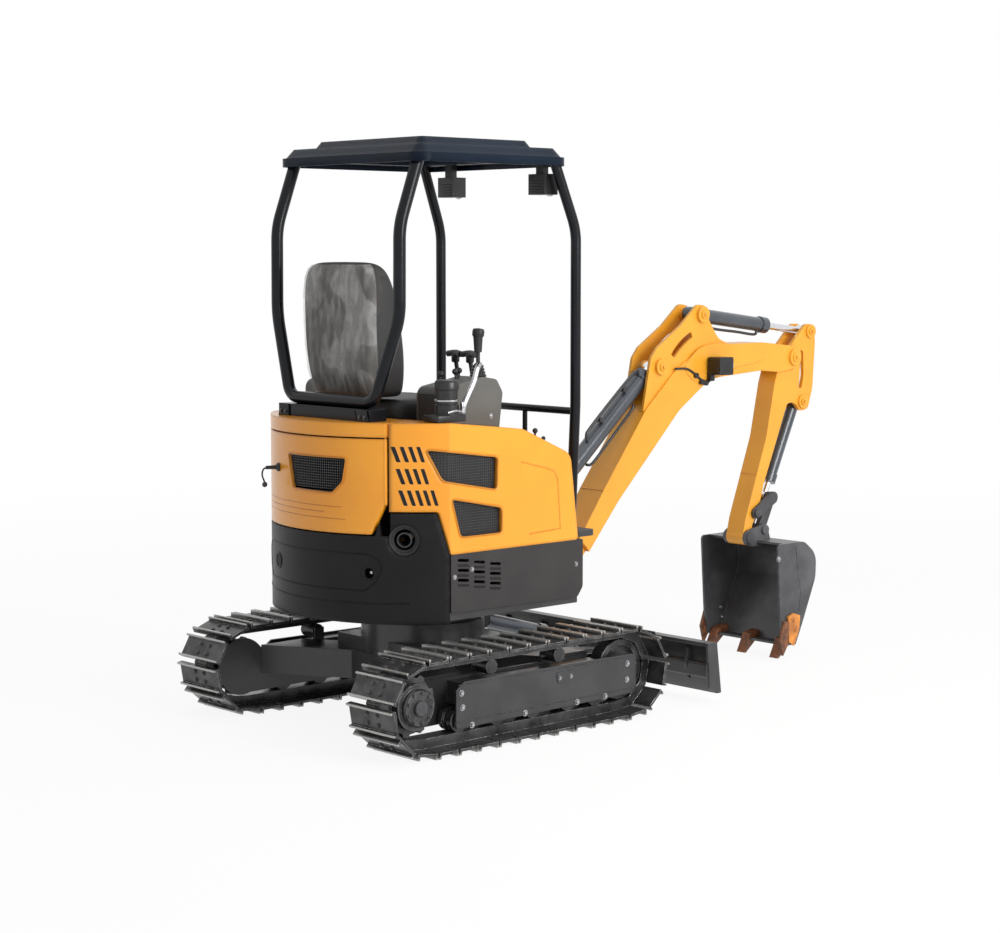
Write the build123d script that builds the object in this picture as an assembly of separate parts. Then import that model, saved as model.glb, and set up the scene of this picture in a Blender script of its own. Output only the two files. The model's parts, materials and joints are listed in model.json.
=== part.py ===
from build123d import *

import math
import os

# A small tracked excavator with a canopy, a swinging boom and a dozer blade.
# Millimetres. X points forward, Y to the left and Z up; the ground is Z = 0.
# Lengths along X are counted from the slew axis. The last section moves the
# machine so that the origin lies under the middle of its bounding box.

# Fits
RUN = 0.08          # radial clearance of a pin in its bore
FACE = 0.3          # clearance between faces that turn past each other

# Tracks
TRACK_WIDTH = 262.0
TRACK_OUTSIDE = 1362.0
TUMBLER_SPAN = 1090.0
CHAIN_RADIUS = 148.0
CHAIN_HALF = 20.0
CHAIN_WIDTH = 76.0
SHOE_COUNT = 31
SHOE_PLATE = 10.0
SHOE_SINK = 2.0
SHOE_GAP = 7.0
GROUSER_HEIGHT = 14.0
GROUSER_WIDTH = 8.0

# Undercarriage
FRAME_WALL = 10.0
FRAME_HALF = 60.0
FRAME_BOTTOM = 80.0
FRAME_TOP = 258.0
PANEL_REAR = -355.0
PANEL_FRONT = 610.0
ROLLER_RADIUS = 44.0
CARRIER_RADIUS = 29.0
HUB_RADIUS = 102.0
HUB_CAP_RADIUS = 72.0
AXLE_RADIUS = 16.0
BELLY = 152.0
LEG_TOP = 328.0
RING_BOTTOM = 400.0
RING_TOP = 438.0
RING_RADIUS = 236.0
RING_BORE = 150.0

# Blade
BLADE_REST_BOTTOM = 38.0
BLADE_TOP = 255.0
BLADE_REAR = 962.0
BLADE_DEPTH = 84.0
BLADE_PLATE = 12.0
BLADE_PIVOT = (400.0, 205.0)
BLADE_PIN_RADIUS = 16.0
BLADE_ARM_Y = 175.0
BLADE_ARM_HALF = 32.0
BLADE_CYL_BASE = (300.0, 352.0)
BLADE_CYL_EYE = (866.0, 196.0)
BLADE_CYL_RADIUS = 32.0
BLADE_ROD_RADIUS = 16.0

# Upper structure
HOUSE_HALF = 521.0
TAIL_RADIUS = 605.0
HOUSE_FRONT = 395.0
DECK_BOTTOM = 470.0
DECK_TOP = 492.0
DECK_INSET = 22.0
SKIRT_BOTTOM = 496.0
SKIRT_TOP = 727.0
SKIRT_PLATE = 22.0
COVER_WALL = 16.0
SEAM = 6.0
WEIGHT_BOTTOM = 462.0
WEIGHT_WALL = 135.0
DOOR_BOTTOM = 803.0
DOOR_TOP = 1164.0
CORNER_TOP = 885.0
HOOD_TOP = 1224.0
HOOD_PLATE = 14.0
DOOR_RIGHT_Y = -353.0
DOOR_LEFT_Y = 428.0
HINGE_X = -math.sqrt((TAIL_RADIUS - COVER_WALL / 2) ** 2 - DOOR_RIGHT_Y ** 2)
HINGE_PIN = 5.0
DOOR_SLANT = 46.0
HINGE_RELIEF = 21.0
COVER_FRONT = 369.0
COVER_INNER = -245.0
COVER_NOSE_TOP = (325.0, 1072.0)
COVER_BREAK_TOP = (66.0, 1184.0)
COVER_REAR_TOP = (-300.0, 1224.0)
LEFT_COVER_FRONT = -70.0
FLOOR_BOTTOM = 735.0
FLOOR_TOP = 757.0
FLOOR_FRONT = 480.0

# Swing post and its axis
SWING_X = 600.0
SWING_PIN_RADIUS = 25.0
SWING_BOSS_RADIUS = 60.0
SWING_LUG = 28.0
SWING_WEB = 74.0
EAR_OUT = 72.0
EAR_IN = 50.0

# Boom, arm and cylinders: pins as (X, Z) at rest
BOOM_FOOT = (770.0, 520.0)
BOOM_CYL_BASE = (690.0, 810.0)
BOOM_CYL_EYE = (1322.0, 1363.0)
ARM_CYL_BASE = (1590.0, 1588.0)
ARM_CYL_EYE = (2360.0, 1495.0)
ARM_PIVOT = (2220.0, 1378.0)
BUCKET_CYL_BASE = (2310.0, 1165.0)
BUCKET_PIVOT = (1930.0, 552.0)
LINK_EYE = (2030.0, 582.0)
ROCKER_PIVOT = (1978.0, 662.0)
ROCKER_PIN = (2098.0, 726.0)
MAIN_PIN_RADIUS = 20.0
SMALL_PIN_RADIUS = 15.0
BOOM_HALF = 72.0
BOOM_EAR_IN = 48.0
BOOM_EAR_OUT = 62.0
FIN_IN = 32.0
ARM_HALF = 50.0
FORK_RADIUS = 150.0
FOOT_ROOM = 125.0
BOOM_CYL_RADIUS = 37.0
BOOM_ROD_RADIUS = 20.0
BOOM_BARREL = 780.0
ARM_CYL_RADIUS = 33.0
ARM_ROD_RADIUS = 17.0
ARM_BARREL = 494.0
BUCKET_CYL_RADIUS = 28.0
BUCKET_ROD_RADIUS = 15.0
BUCKET_BARREL = 405.0
EYE_HALF = 22.0
BUCKET_HALF = 238.0
BUCKET_PLATE = 10.0
TOOTH_COUNT = 3

# Canopy and seat
TUBE_RADIUS = 24.0
CANOPY_UNDER = 2200.0
CANOPY_POCKET = 2220.0
CANOPY_TOP = 2300.0
CANOPY_REAR = -385.0
CANOPY_FRONT = 399.0
CANOPY_HALF = 440.0
POST_HALF = 380.0
LOOP_BOTTOM = 1295.0
FRONT_POST_X = 458.0
FRONT_POST_Y = 411.0
FRONT_POST_RADIUS = 21.0
RAIL_Z = 1227.0
SEAT_Y = 50.0
SEAT_BASE_TOP = 1190.0
SEAT_TOP = 1295.0
LEFT_COVER_INNER = 330.0


# Drawing helpers

def rounded(points, radii):
    """A face with straight sides whose corners have the given radii."""
    return make_face(FilletPolyline(*points, radius=radii, close=True))


def slab(face, y_min, y_max):
    """A face drawn in X and Z, made solid from y_min to y_max."""
    solid = extrude(Plane.XZ * face, amount=y_max - y_min, dir=(0, 1, 0))
    return Pos(0, y_min, 0) * solid


def pair(face, y_in, y_out):
    """The same side plate on the left and on the right."""
    return slab(face, y_in, y_out) + slab(face, -y_out, -y_in)


def disc(pin, radius):
    """A circle in X and Z about a pin."""
    return Pos(*pin) * Circle(radius)


def rod(pin, radius, y_min, y_max):
    """A round bar along Y through a pin's place."""
    return slab(disc(pin, radius), y_min, y_max)


def upright(x, y, radius, z_min, z_max):
    """A round bar along Z."""
    return Pos(x, y, z_min) * extrude(Circle(radius), amount=z_max - z_min)


def block(x_min, x_max, y_min, y_max, z_min, z_max):
    """A plain rectangular block between its faces."""
    centre = Pos((x_min + x_max) / 2, (y_min + y_max) / 2, (z_min + z_max) / 2)
    return centre * Box(x_max - x_min, y_max - y_min, z_max - z_min)


def link_plate(first, first_radius, second, second_radius):
    """The plate outline that wraps two round ends."""
    ends = disc(first, first_radius).edges() + disc(second, second_radius).edges()
    return make_hull(ends)


def length_between(first, second):
    return math.hypot(second[0] - first[0], second[1] - first[1])


def along(first, second, distance):
    """The point at a distance from the first pin towards the second."""
    share = distance / length_between(first, second)
    return (
        first[0] + (second[0] - first[0]) * share,
        first[1] + (second[1] - first[1]) * share,
    )


def shaft(first, second, start, end, radius):
    """A round bar along the line from one pin to another."""
    near = along(first, second, start)
    direction = (second[0] - first[0], 0, second[1] - first[1])
    base = Plane(origin=(near[0], 0, near[1]), z_dir=direction)
    return extrude(base * Circle(radius), amount=end - start)


def bent_tube(points, radii, radius):
    """A tube of round section along straight runs joined by arcs."""
    path = FilletPolyline(*points, radius=radii)
    section = Plane(origin=path @ 0, z_dir=path % 0) * Circle(radius)
    return sweep(section, path)


# Tracks

CHAIN_PERIMETER = 2 * TUMBLER_SPAN + 2 * math.pi * CHAIN_RADIUS
PITCH = CHAIN_PERIMETER / SHOE_COUNT
TUMBLER_Z = CHAIN_RADIUS + CHAIN_HALF - SHOE_SINK + SHOE_PLATE + GROUSER_HEIGHT
TRACK_Y = TRACK_OUTSIDE / 2 - TRACK_WIDTH / 2
TUMBLER_X = TUMBLER_SPAN / 2
HALF_TURN = math.asin(PITCH / 2 / CHAIN_RADIUS)
WHEEL_RADIUS = (CHAIN_RADIUS - CHAIN_HALF) * math.cos(HALF_TURN) - FACE
RUN_FLOOR = TUMBLER_Z - CHAIN_RADIUS + CHAIN_HALF
RUN_ROOF = TUMBLER_Z + CHAIN_RADIUS - CHAIN_HALF


def chain_joint(index, offset=0.0):
    """A chain joint on the loop, moved outwards by the offset."""
    reach = CHAIN_RADIUS + offset
    turn = math.pi * CHAIN_RADIUS
    distance = (index * PITCH + TUMBLER_SPAN / 2) % CHAIN_PERIMETER
    if distance < TUMBLER_SPAN:
        return (distance - TUMBLER_X, TUMBLER_Z - reach)
    if distance < TUMBLER_SPAN + turn:
        angle = -math.pi / 2 + (distance - TUMBLER_SPAN) / CHAIN_RADIUS
        return (TUMBLER_X + reach * math.cos(angle), TUMBLER_Z + reach * math.sin(angle))
    if distance < 2 * TUMBLER_SPAN + turn:
        return (TUMBLER_X - (distance - TUMBLER_SPAN - turn), TUMBLER_Z + reach)
    angle = math.pi / 2 + (distance - 2 * TUMBLER_SPAN - turn) / CHAIN_RADIUS
    return (-TUMBLER_X + reach * math.cos(angle), TUMBLER_Z + reach * math.sin(angle))


def shoe_profile():
    """A shoe seen from its end: a plate with a bar along each edge."""
    half = (PITCH - SHOE_GAP) / 2
    low = CHAIN_HALF - SHOE_SINK
    high = low + SHOE_PLATE
    tip = high + GROUSER_HEIGHT
    inner = half - GROUSER_WIDTH
    return make_face(Polyline(
        (-half, low), (half, low), (half, tip), (inner, tip),
        (inner, high), (-inner, high), (-inner, tip), (-half, tip),
        close=True,
    ))


def track(side):
    """One closed loop: the chain with every shoe on it."""
    indices = range(SHOE_COUNT)
    outer = make_face(Polyline(*[chain_joint(i, CHAIN_HALF) for i in indices], close=True))
    inner = make_face(Polyline(*[chain_joint(i, -CHAIN_HALF) for i in indices], close=True))
    loop = slab(outer - inner, -CHAIN_WIDTH / 2, CHAIN_WIDTH / 2)
    profile = shoe_profile()
    shoes = []
    for i in indices:
        start = chain_joint(i)
        end = chain_joint(i + 1)
        middle = ((start[0] + end[0]) / 2, (start[1] + end[1]) / 2)
        angle = math.degrees(math.atan2(start[1] - end[1], start[0] - end[0]))
        placed = Pos(*middle) * Rot(0, 0, angle) * profile
        shoes.append(slab(placed, -TRACK_WIDTH / 2, TRACK_WIDTH / 2))
    return Pos(0, side * TRACK_Y, 0) * (loop + shoes)


def both_tracks(shape):
    """The same piece on the right-hand and the left-hand track."""
    right = Pos(0, -TRACK_Y, 0) * shape
    return right + mirror(right, about=Plane.XZ)


def sprockets():
    """Toothed drive wheels at the rear, with the hub and its cap."""
    centre = (-TUMBLER_X, TUMBLER_Z)
    teeth = 9
    root = WHEEL_RADIUS - 14
    profile = disc(centre, root)
    for i in range(teeth):
        angle = 360 / teeth * (i + 0.5)
        profile = profile + Pos(*centre) * Rot(0, 0, angle) * Pos(root + 2, 0) * Rot(0, 0, -90) * Trapezoid(44, 22, 66)
    wheel = slab(profile, -16, 16)
    hub = rod(centre, HUB_RADIUS - 14, -FRAME_HALF + FRAME_WALL, 52)
    cap = rod(centre, HUB_CAP_RADIUS, 52, 74)
    hub = hub + chamfer(cap.edges().filter_by(GeomType.CIRCLE).sort_by(Axis.Y)[-1], 8)
    return both_tracks(mirror(wheel + hub, about=Plane.XZ))


def idlers():
    """Plain front wheels with a guide rim, each on its axle."""
    centre = (TUMBLER_X, TUMBLER_Z)
    wheel = rod(centre, WHEEL_RADIUS, -30, 30)
    web_cut = disc(centre, WHEEL_RADIUS - 22) - disc(centre, 44)
    wheel = wheel - slab(web_cut, 12, 30) - slab(web_cut, -30, -12)
    axle = rod(centre, 22, -FRAME_HALF + FRAME_WALL, FRAME_HALF - FRAME_WALL)
    return both_tracks(wheel + axle)


def roller_places():
    """Lower rollers and carrier rollers as (x, z, radius)."""
    low = [(x, RUN_FLOOR + ROLLER_RADIUS, ROLLER_RADIUS) for x in (-320, -130, 60, 250, 400)]
    high = [(x, RUN_ROOF - CARRIER_RADIUS, CARRIER_RADIUS) for x in (-150, 210)]
    return low, high


def rollers():
    low, high = roller_places()
    shape = None
    for x, z, radius in low:
        flange = rod((x, z), radius, -38, 38) - slab(disc((x, z), radius) - disc((x, z), radius - 9), -14, 14)
        axle = rod((x, z), AXLE_RADIUS, -FRAME_HALF + FRAME_WALL, FRAME_HALF - FRAME_WALL)
        shape = flange + axle if shape is None else shape + flange + axle
    for x, z, radius in high:
        shape = shape + rod((x, z), radius, -30, FRAME_HALF - FRAME_WALL)
    return both_tracks(shape)


def track_frames():
    """Two side frames with open bottoms, tied to the centre by legs."""
    outer = rounded(
        [(PANEL_REAR, FRAME_BOTTOM), (PANEL_FRONT, FRAME_BOTTOM + 12), (PANEL_FRONT, FRAME_TOP - 6),
         (PANEL_REAR + 40, FRAME_TOP), (PANEL_REAR, FRAME_TOP - 30)],
        [12, 20, 30, 12, 12],
    )
    centre = (-TUMBLER_X, TUMBLER_Z)
    inner = rounded(
        [(-TUMBLER_X, FRAME_BOTTOM), (PANEL_FRONT, FRAME_BOTTOM + 12), (PANEL_FRONT, FRAME_TOP - 6),
         (-TUMBLER_X, FRAME_TOP)],
        [0, 20, 30, 0],
    ) + disc(centre, HUB_RADIUS + 14)
    inner_y = FRAME_HALF - FRAME_WALL
    frame = slab(outer, -FRAME_HALF, -inner_y) + slab(inner, inner_y, FRAME_HALF)
    frame = frame + block(PANEL_REAR + 50, 420, -inner_y, inner_y, FRAME_TOP - 22, FRAME_TOP - 12)
    low, high = roller_places()
    for x, z, radius in high:
        foot = block(x - 24, x + 24, inner_y, FRAME_HALF, FRAME_TOP - 20, z + 16)
        frame = frame + foot
    web_bottom = RUN_FLOOR + 2 * ROLLER_RADIUS + 10
    frame = frame + block(PANEL_REAR + 50, PANEL_REAR + 62, -inner_y, inner_y, web_bottom, FRAME_TOP - 12)
    right = Pos(0, -TRACK_Y, 0) * frame
    return right + mirror(right, about=Plane.XZ)


def car_body():
    """The centre frame with four legs, the ring seat and the blade brackets."""
    reach = TRACK_Y - FRAME_HALF
    quarter = [(450, reach), (230, reach), (130, 300)]
    front = [(-130, 300), (-230, reach), (-450, reach), (-250, 150)]
    upper = quarter + front
    outline = upper + [(x, -y) for x, y in reversed(upper)]
    plan = make_face(Polyline(*outline, (250, -150), (250, 150), close=True))
    body = Pos(0, 0, BELLY) * extrude(plan, amount=LEG_TOP - BELLY - 60)
    body = body + upright(0, 0, RING_RADIUS + 14, LEG_TOP - 70, RING_BOTTOM)
    body = body + block(-240, 240, -250, 250, BELLY, LEG_TOP)
    lug = link_plate(BLADE_PIVOT, 34, (230, 200), 48)
    outer = BLADE_ARM_Y + BLADE_ARM_HALF + FACE
    inner = BLADE_ARM_Y - BLADE_ARM_HALF - FACE
    body = body + pair(lug, outer, outer + 18) + pair(lug, inner - 18, inner)
    body = body + pair(disc(BLADE_PIVOT, BLADE_PIN_RADIUS), inner - 18, outer + 30)
    ear = link_plate(BLADE_CYL_BASE, 30, (220, 300), 40)
    body = body + pair(ear, EYE_HALF + FACE, EYE_HALF + FACE + 16)
    body = body + rod(BLADE_CYL_BASE, SMALL_PIN_RADIUS, -EYE_HALF - 24, EYE_HALF + 24)
    return body


def slew_ring():
    ring = upright(0, 0, RING_RADIUS, RING_BOTTOM, RING_TOP)
    return ring - upright(0, 0, RING_BORE, RING_BOTTOM, RING_TOP)


# Blade

def blade():
    """A curved plate with end plates, two arms and the cylinder's ears."""
    half = TRACK_OUTSIDE / 2
    low = BLADE_REST_BOTTOM
    front = BLADE_REAR + BLADE_DEPTH
    lip = BLADE_REAR + 52
    face = ThreePointArc((lip, BLADE_TOP), (BLADE_REAR + 36, (low + BLADE_TOP) / 2), (front, low))
    back = ThreePointArc(
        (front - BLADE_PLATE - 6, low),
        (BLADE_REAR + 36 - BLADE_PLATE, (low + BLADE_TOP) / 2),
        (lip - BLADE_PLATE - 2, BLADE_TOP),
    )
    shell = make_face([face, Line(face @ 1, back @ 0), back, Line(back @ 1, face @ 0)])
    end = rounded(
        [(BLADE_REAR, BLADE_TOP), (lip + 6, BLADE_TOP), (front + 3, low), (BLADE_REAR + 18, low + 22)],
        [10, 4, 4, 10],
    )
    plate = slab(shell, -half + 5, half - 5)
    plate = plate + pair(end, half - BLADE_PLATE, half)
    tube = rounded(
        [(BLADE_REAR, 110), (BLADE_REAR + 44, 104), (BLADE_REAR + 44, 176), (BLADE_REAR, 170)],
        [8, 0, 0, 8],
    )
    plate = plate + slab(tube, -half + 5, half - 5)
    top_lip = rounded(
        [(BLADE_REAR + 6, BLADE_TOP - 16), (lip - 6, BLADE_TOP - 16), (lip - 6, BLADE_TOP), (BLADE_REAR + 6, BLADE_TOP)],
        [3, 0, 0, 3],
    )
    plate = plate + slab(top_lip, -half + 5, half - 5)
    arm_face = make_hull(
        disc(BLADE_PIVOT, 32).edges()
        + make_face(Polyline((BLADE_REAR + 8, 106), (BLADE_REAR + 8, 172), (BLADE_REAR - 40, 172),
                             (BLADE_REAR - 40, 106), close=True)).edges()
    )
    arm_in = BLADE_ARM_Y - BLADE_ARM_HALF
    arm_out = BLADE_ARM_Y + BLADE_ARM_HALF
    arms = pair(arm_face, arm_in, arm_out)
    cross_face = rounded([(700, 130), (742, 128), (742, 176), (700, 178)], [6, 6, 6, 6])
    arms = arms + slab(cross_face, -arm_in, arm_in)
    arms = arms - pair(disc(BLADE_PIVOT, BLADE_PIN_RADIUS + RUN), arm_in, arm_out)
    ear = make_hull(
        disc(BLADE_CYL_EYE, 30).edges()
        + make_face(Polyline((BLADE_REAR + 6, 120), (BLADE_REAR + 6, 226), (BLADE_REAR - 4, 226),
                             (BLADE_REAR - 4, 120), close=True)).edges()
    )
    ears = pair(ear, EYE_HALF + FACE, EYE_HALF + FACE + 16)
    ears = ears + pair(disc(BLADE_CYL_EYE, 22), EYE_HALF + FACE + 16, EYE_HALF + FACE + 24)
    return plate + arms + ears


# Cylinders

def barrel(base, eye, base_radius, pin_radius, eye_half, length, radius, bore):
    """A cylinder's barrel with its base eye, closed end and gland."""
    start = base_radius + 12
    neck = shaft(base, eye, base_radius - 8, start + 1, min(radius, eye_half) - 1)
    body = neck + shaft(base, eye, start, length, radius)
    gland = shaft(base, eye, length - 34, length + 8, radius + 5)
    head = slab(disc(base, base_radius), -eye_half, eye_half)
    shape = body + gland + head
    shape = shape - rod(base, pin_radius + RUN, -eye_half - 1, eye_half + 1)
    return shape - shaft(base, eye, start + 16, length + 20, bore)


def piston_rod(base, eye, start, rod_radius, eye_radius, eye_half):
    """A chrome rod with its eye; the eye carries its own short pin."""
    span = length_between(base, eye)
    body = shaft(base, eye, start, span - eye_radius + 6, rod_radius)
    head = slab(disc(eye, eye_radius), -eye_half, eye_half)
    return body + head


def blade_cylinder():
    return barrel(BLADE_CYL_BASE, BLADE_CYL_EYE, 28, SMALL_PIN_RADIUS, EYE_HALF, 380,
                  BLADE_CYL_RADIUS, BLADE_ROD_RADIUS + FACE)


def blade_rod():
    shape = piston_rod(BLADE_CYL_BASE, BLADE_CYL_EYE, 112, BLADE_ROD_RADIUS, 26, EYE_HALF - 2)
    return shape + rod(BLADE_CYL_EYE, 13, -EYE_HALF, EYE_HALF)


def boom_cylinder():
    return barrel(BOOM_CYL_BASE, BOOM_CYL_EYE, 36, MAIN_PIN_RADIUS, 29.7, BOOM_BARREL,
                  BOOM_CYL_RADIUS, BOOM_ROD_RADIUS + FACE)


def boom_rod():
    shape = piston_rod(BOOM_CYL_BASE, BOOM_CYL_EYE, 200, BOOM_ROD_RADIUS, 30, 26)
    return shape + rod(BOOM_CYL_EYE, MAIN_PIN_RADIUS, -BOOM_EAR_IN + FACE, BOOM_EAR_IN - FACE)


def arm_cylinder():
    return barrel(ARM_CYL_BASE, ARM_CYL_EYE, 34, MAIN_PIN_RADIUS, 28, ARM_BARREL,
                  ARM_CYL_RADIUS, ARM_ROD_RADIUS + FACE)


def arm_rod():
    shape = piston_rod(ARM_CYL_BASE, ARM_CYL_EYE, 300, ARM_ROD_RADIUS, 28, 22)
    return shape + rod(ARM_CYL_EYE, SMALL_PIN_RADIUS, -FIN_IN + FACE, FIN_IN - FACE)


def bucket_cylinder():
    return barrel(BUCKET_CYL_BASE, ROCKER_PIN, 30, SMALL_PIN_RADIUS, 24, BUCKET_BARREL,
                  BUCKET_CYL_RADIUS, BUCKET_ROD_RADIUS + FACE)


def bucket_rod():
    shape = piston_rod(BUCKET_CYL_BASE, ROCKER_PIN, 200, BUCKET_ROD_RADIUS, 25, 19)
    return shape


# Swing post

def swing_post():
    """A casting: two lugs on the vertical pin and two ears for the boom."""
    low = DECK_BOTTOM - FACE
    high = DECK_BOTTOM + 130 + FACE
    plan = make_hull(
        (Pos(SWING_X, 0) * Circle(SWING_BOSS_RADIUS)).edges()
        + (Pos(SWING_X + SWING_WEB + 12, 0) * Rectangle(24, 2 * EAR_OUT)).edges()
    )
    lugs = Pos(0, 0, high) * extrude(plan, amount=SWING_LUG)
    lugs = lugs + Pos(0, 0, low - SWING_LUG) * extrude(plan, amount=SWING_LUG)
    web = block(SWING_X + SWING_WEB, SWING_X + SWING_WEB + 24, -EAR_OUT, EAR_OUT, low - SWING_LUG, high + SWING_LUG)
    pin = upright(SWING_X, 0, SWING_PIN_RADIUS, low - SWING_LUG - 12, high + SWING_LUG + 12)
    root_low = (SWING_X + SWING_WEB + 34, low - SWING_LUG + 34)
    root_high = (SWING_X + SWING_WEB + 30, high + SWING_LUG)
    ear = make_hull(
        disc(BOOM_FOOT, 50).edges() + disc(root_low, 34).edges() + disc(root_high, 30).edges()
    ) + make_hull(disc(BOOM_CYL_BASE, 42).edges() + disc(root_high, 30).edges() + disc(BOOM_FOOT, 40).edges())
    ears = pair(ear, EAR_IN, EAR_OUT)
    bosses = pair(disc(BOOM_CYL_BASE, 36), 30, EAR_OUT + 8) + pair(disc(BOOM_FOOT, 38), EAR_OUT, EAR_OUT + 10)
    pins = rod(BOOM_FOOT, MAIN_PIN_RADIUS, -EAR_OUT, EAR_OUT) + rod(BOOM_CYL_BASE, MAIN_PIN_RADIUS, -EAR_OUT, EAR_OUT)
    return lugs + web + pin + ears + bosses + pins


# Boom

def boom_outline():
    return rounded(
        [(728, 540), (822, 650), (968, 850), (1225, 1180), (1420, 1352), (1620, 1452),
         (2010, 1452), (2200, 1432), (2250, 1330), (2117, 1312), (1985, 1324), (1640, 1300),
         (1438, 1168), (1055, 791), (851, 556), (805, 484)],
        [10, 60, 300, 200, 260, 160, 60, 30, 40, 60, 300, 260, 260, 300, 60, 30],
    )


def ear_outline():
    return rounded(
        [(1215, 1170), (1262, 1400), (1300, 1446), (1450, 1540), (1562, 1634), (1618, 1626),
         (1640, 1560), (1700, 1478), (1790, 1446), (1640, 1400), (1420, 1300)],
        [0, 34, 40, 80, 34, 34, 30, 90, 0, 0, 0],
    )


def boom():
    """A gooseneck box with a fork at its tip and two ears at the bend."""
    box = slab(boom_outline() + disc(BOOM_FOOT, 50) + disc(ARM_PIVOT, 54), -BOOM_HALF, BOOM_HALF)
    foot_room = disc(BOOM_FOOT, FOOT_ROOM)
    box = box - pair(foot_room, EAR_IN - FACE, BOOM_HALF + 1)
    box = box - slab(disc(ARM_PIVOT, FORK_RADIUS), -ARM_HALF - FACE, ARM_HALF + FACE)
    box = box - rod(BOOM_FOOT, MAIN_PIN_RADIUS + RUN, -BOOM_HALF, BOOM_HALF)
    slot = make_face([
        ThreePointArc((1392, 1416), (1452, 1474), (1520, 1512)),
        Line((1520, 1512), (1530, 1488)),
        ThreePointArc((1530, 1488), (1468, 1448), (1412, 1398)),
        Line((1412, 1398), (1392, 1416)),
    ])
    ears = pair(ear_outline() - slot, BOOM_EAR_IN, BOOM_EAR_OUT)
    bosses = pair(disc(BOOM_CYL_EYE, 36), BOOM_EAR_OUT, BOOM_HALF + 6)
    bosses = bosses + pair(disc(ARM_CYL_BASE, 36), BOOM_EAR_OUT, BOOM_HALF + 6)
    bosses = bosses + pair(disc(ARM_CYL_BASE, 30), 28 + FACE, BOOM_EAR_IN)
    bosses = bosses + pair(disc(ARM_PIVOT, 38), BOOM_HALF, BOOM_HALF + 12)
    pins = rod(ARM_CYL_BASE, MAIN_PIN_RADIUS, -BOOM_EAR_IN, BOOM_EAR_IN)
    pins = pins + rod(ARM_PIVOT, MAIN_PIN_RADIUS, -BOOM_HALF, BOOM_HALF)
    return box + ears + bosses + pins


def boom_lamp():
    """The square work lamp on the right-hand side of the boom."""
    housing = block(1610, 1700, -BOOM_HALF - 84, -BOOM_HALF - 12, 1318, 1398)
    housing = fillet(housing.edges().filter_by(Axis.Y), 10)
    foot = block(1630, 1680, -BOOM_HALF - 14, -BOOM_HALF, 1330, 1372)
    return housing + foot


# Arm

def arm_outline():
    return rounded(
        [(1894, 552), (1915, 640), (2056, 1013), (2110, 1262), (2160, 1400), (2235, 1440), (2300, 1300),
         (2196, 1150), (2120, 975), (2034, 780), (2004, 664), (1960, 606), (1965, 556)],
        [20, 120, 300, 120, 60, 30, 80, 200, 200, 200, 26, 30, 26],
    )


def fin_outline():
    return rounded(
        [(2110, 1262), (2160, 1400), (2225, 1434), (2330, 1530), (2392, 1528), (2398, 1440),
         (2384, 1230), (2352, 1130), (2290, 1120), (2240, 1200), (2170, 1130), (2100, 1180)],
        [60, 50, 60, 34, 34, 80, 120, 34, 30, 60, 20, 20],
    )


def arm():
    """A tapered box with two fins at its top that hold both cylinders."""
    box = slab(arm_outline() + disc(ARM_PIVOT, 54) + disc(BUCKET_PIVOT, 36), -ARM_HALF, ARM_HALF)
    opening = rounded([(2282, 1410), (2312, 1404), (2318, 1290), (2304, 1225), (2280, 1232), (2290, 1300)],
                      [12, 12, 60, 10, 10, 60])
    fins = pair(fin_outline() - opening, FIN_IN, ARM_HALF)
    fins = fins + pair(disc(ARM_CYL_EYE, 32), ARM_HALF, ARM_HALF + 10)
    fins = fins + pair(disc(BUCKET_CYL_BASE, 32), 24 + FACE, ARM_HALF + 10)
    fins = fins + rod(BUCKET_CYL_BASE, SMALL_PIN_RADIUS, -ARM_HALF, ARM_HALF)
    shape = box + fins
    shape = shape - rod(ARM_PIVOT, MAIN_PIN_RADIUS + RUN, -ARM_HALF - 1, ARM_HALF + 1)
    shape = shape - rod(BUCKET_PIVOT, SMALL_PIN_RADIUS + RUN, -ARM_HALF - 1, ARM_HALF + 1)
    return shape + rod(ROCKER_PIVOT, SMALL_PIN_RADIUS, -ARM_HALF - 22, ARM_HALF + 22)


# Bucket linkage

def rocker():
    """Two plates outside the arm, each with its pin for the link."""
    plate = link_plate(ROCKER_PIVOT, 26, ROCKER_PIN, 28)
    plates = pair(plate, ARM_HALF + FACE, ARM_HALF + 14)
    plates = plates - rod(ROCKER_PIVOT, SMALL_PIN_RADIUS + RUN, -ARM_HALF - 20, ARM_HALF + 20)
    return plates + pair(disc(ROCKER_PIN, 14), EYE_HALF + 1, ARM_HALF + 14)


def bucket_link():
    """Two bars on the rocker's pin, joined by the eye at the bucket."""
    plate = link_plate(ROCKER_PIN, 26, LINK_EYE, 24)
    bars = pair(plate, 25, ARM_HALF - 1)
    bars = bars + rod(LINK_EYE, 24, -ARM_HALF + 1, ARM_HALF - 1)
    bars = bars - rod(ROCKER_PIN, 14 + RUN, -ARM_HALF, ARM_HALF)
    return bars + rod(LINK_EYE, SMALL_PIN_RADIUS, -ARM_HALF, ARM_HALF)


# Bucket

def bucket_side():
    """The side plate: straight mouth, round back."""
    return rounded(
        [(1926, 536), (2112, 536), (2200, 470), (2196, 360), (2110, 165), (2060, 60), (1975, 62), (1950, 180)],
        [20, 60, 90, 120, 200, 10, 10, 30],
    )


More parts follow.
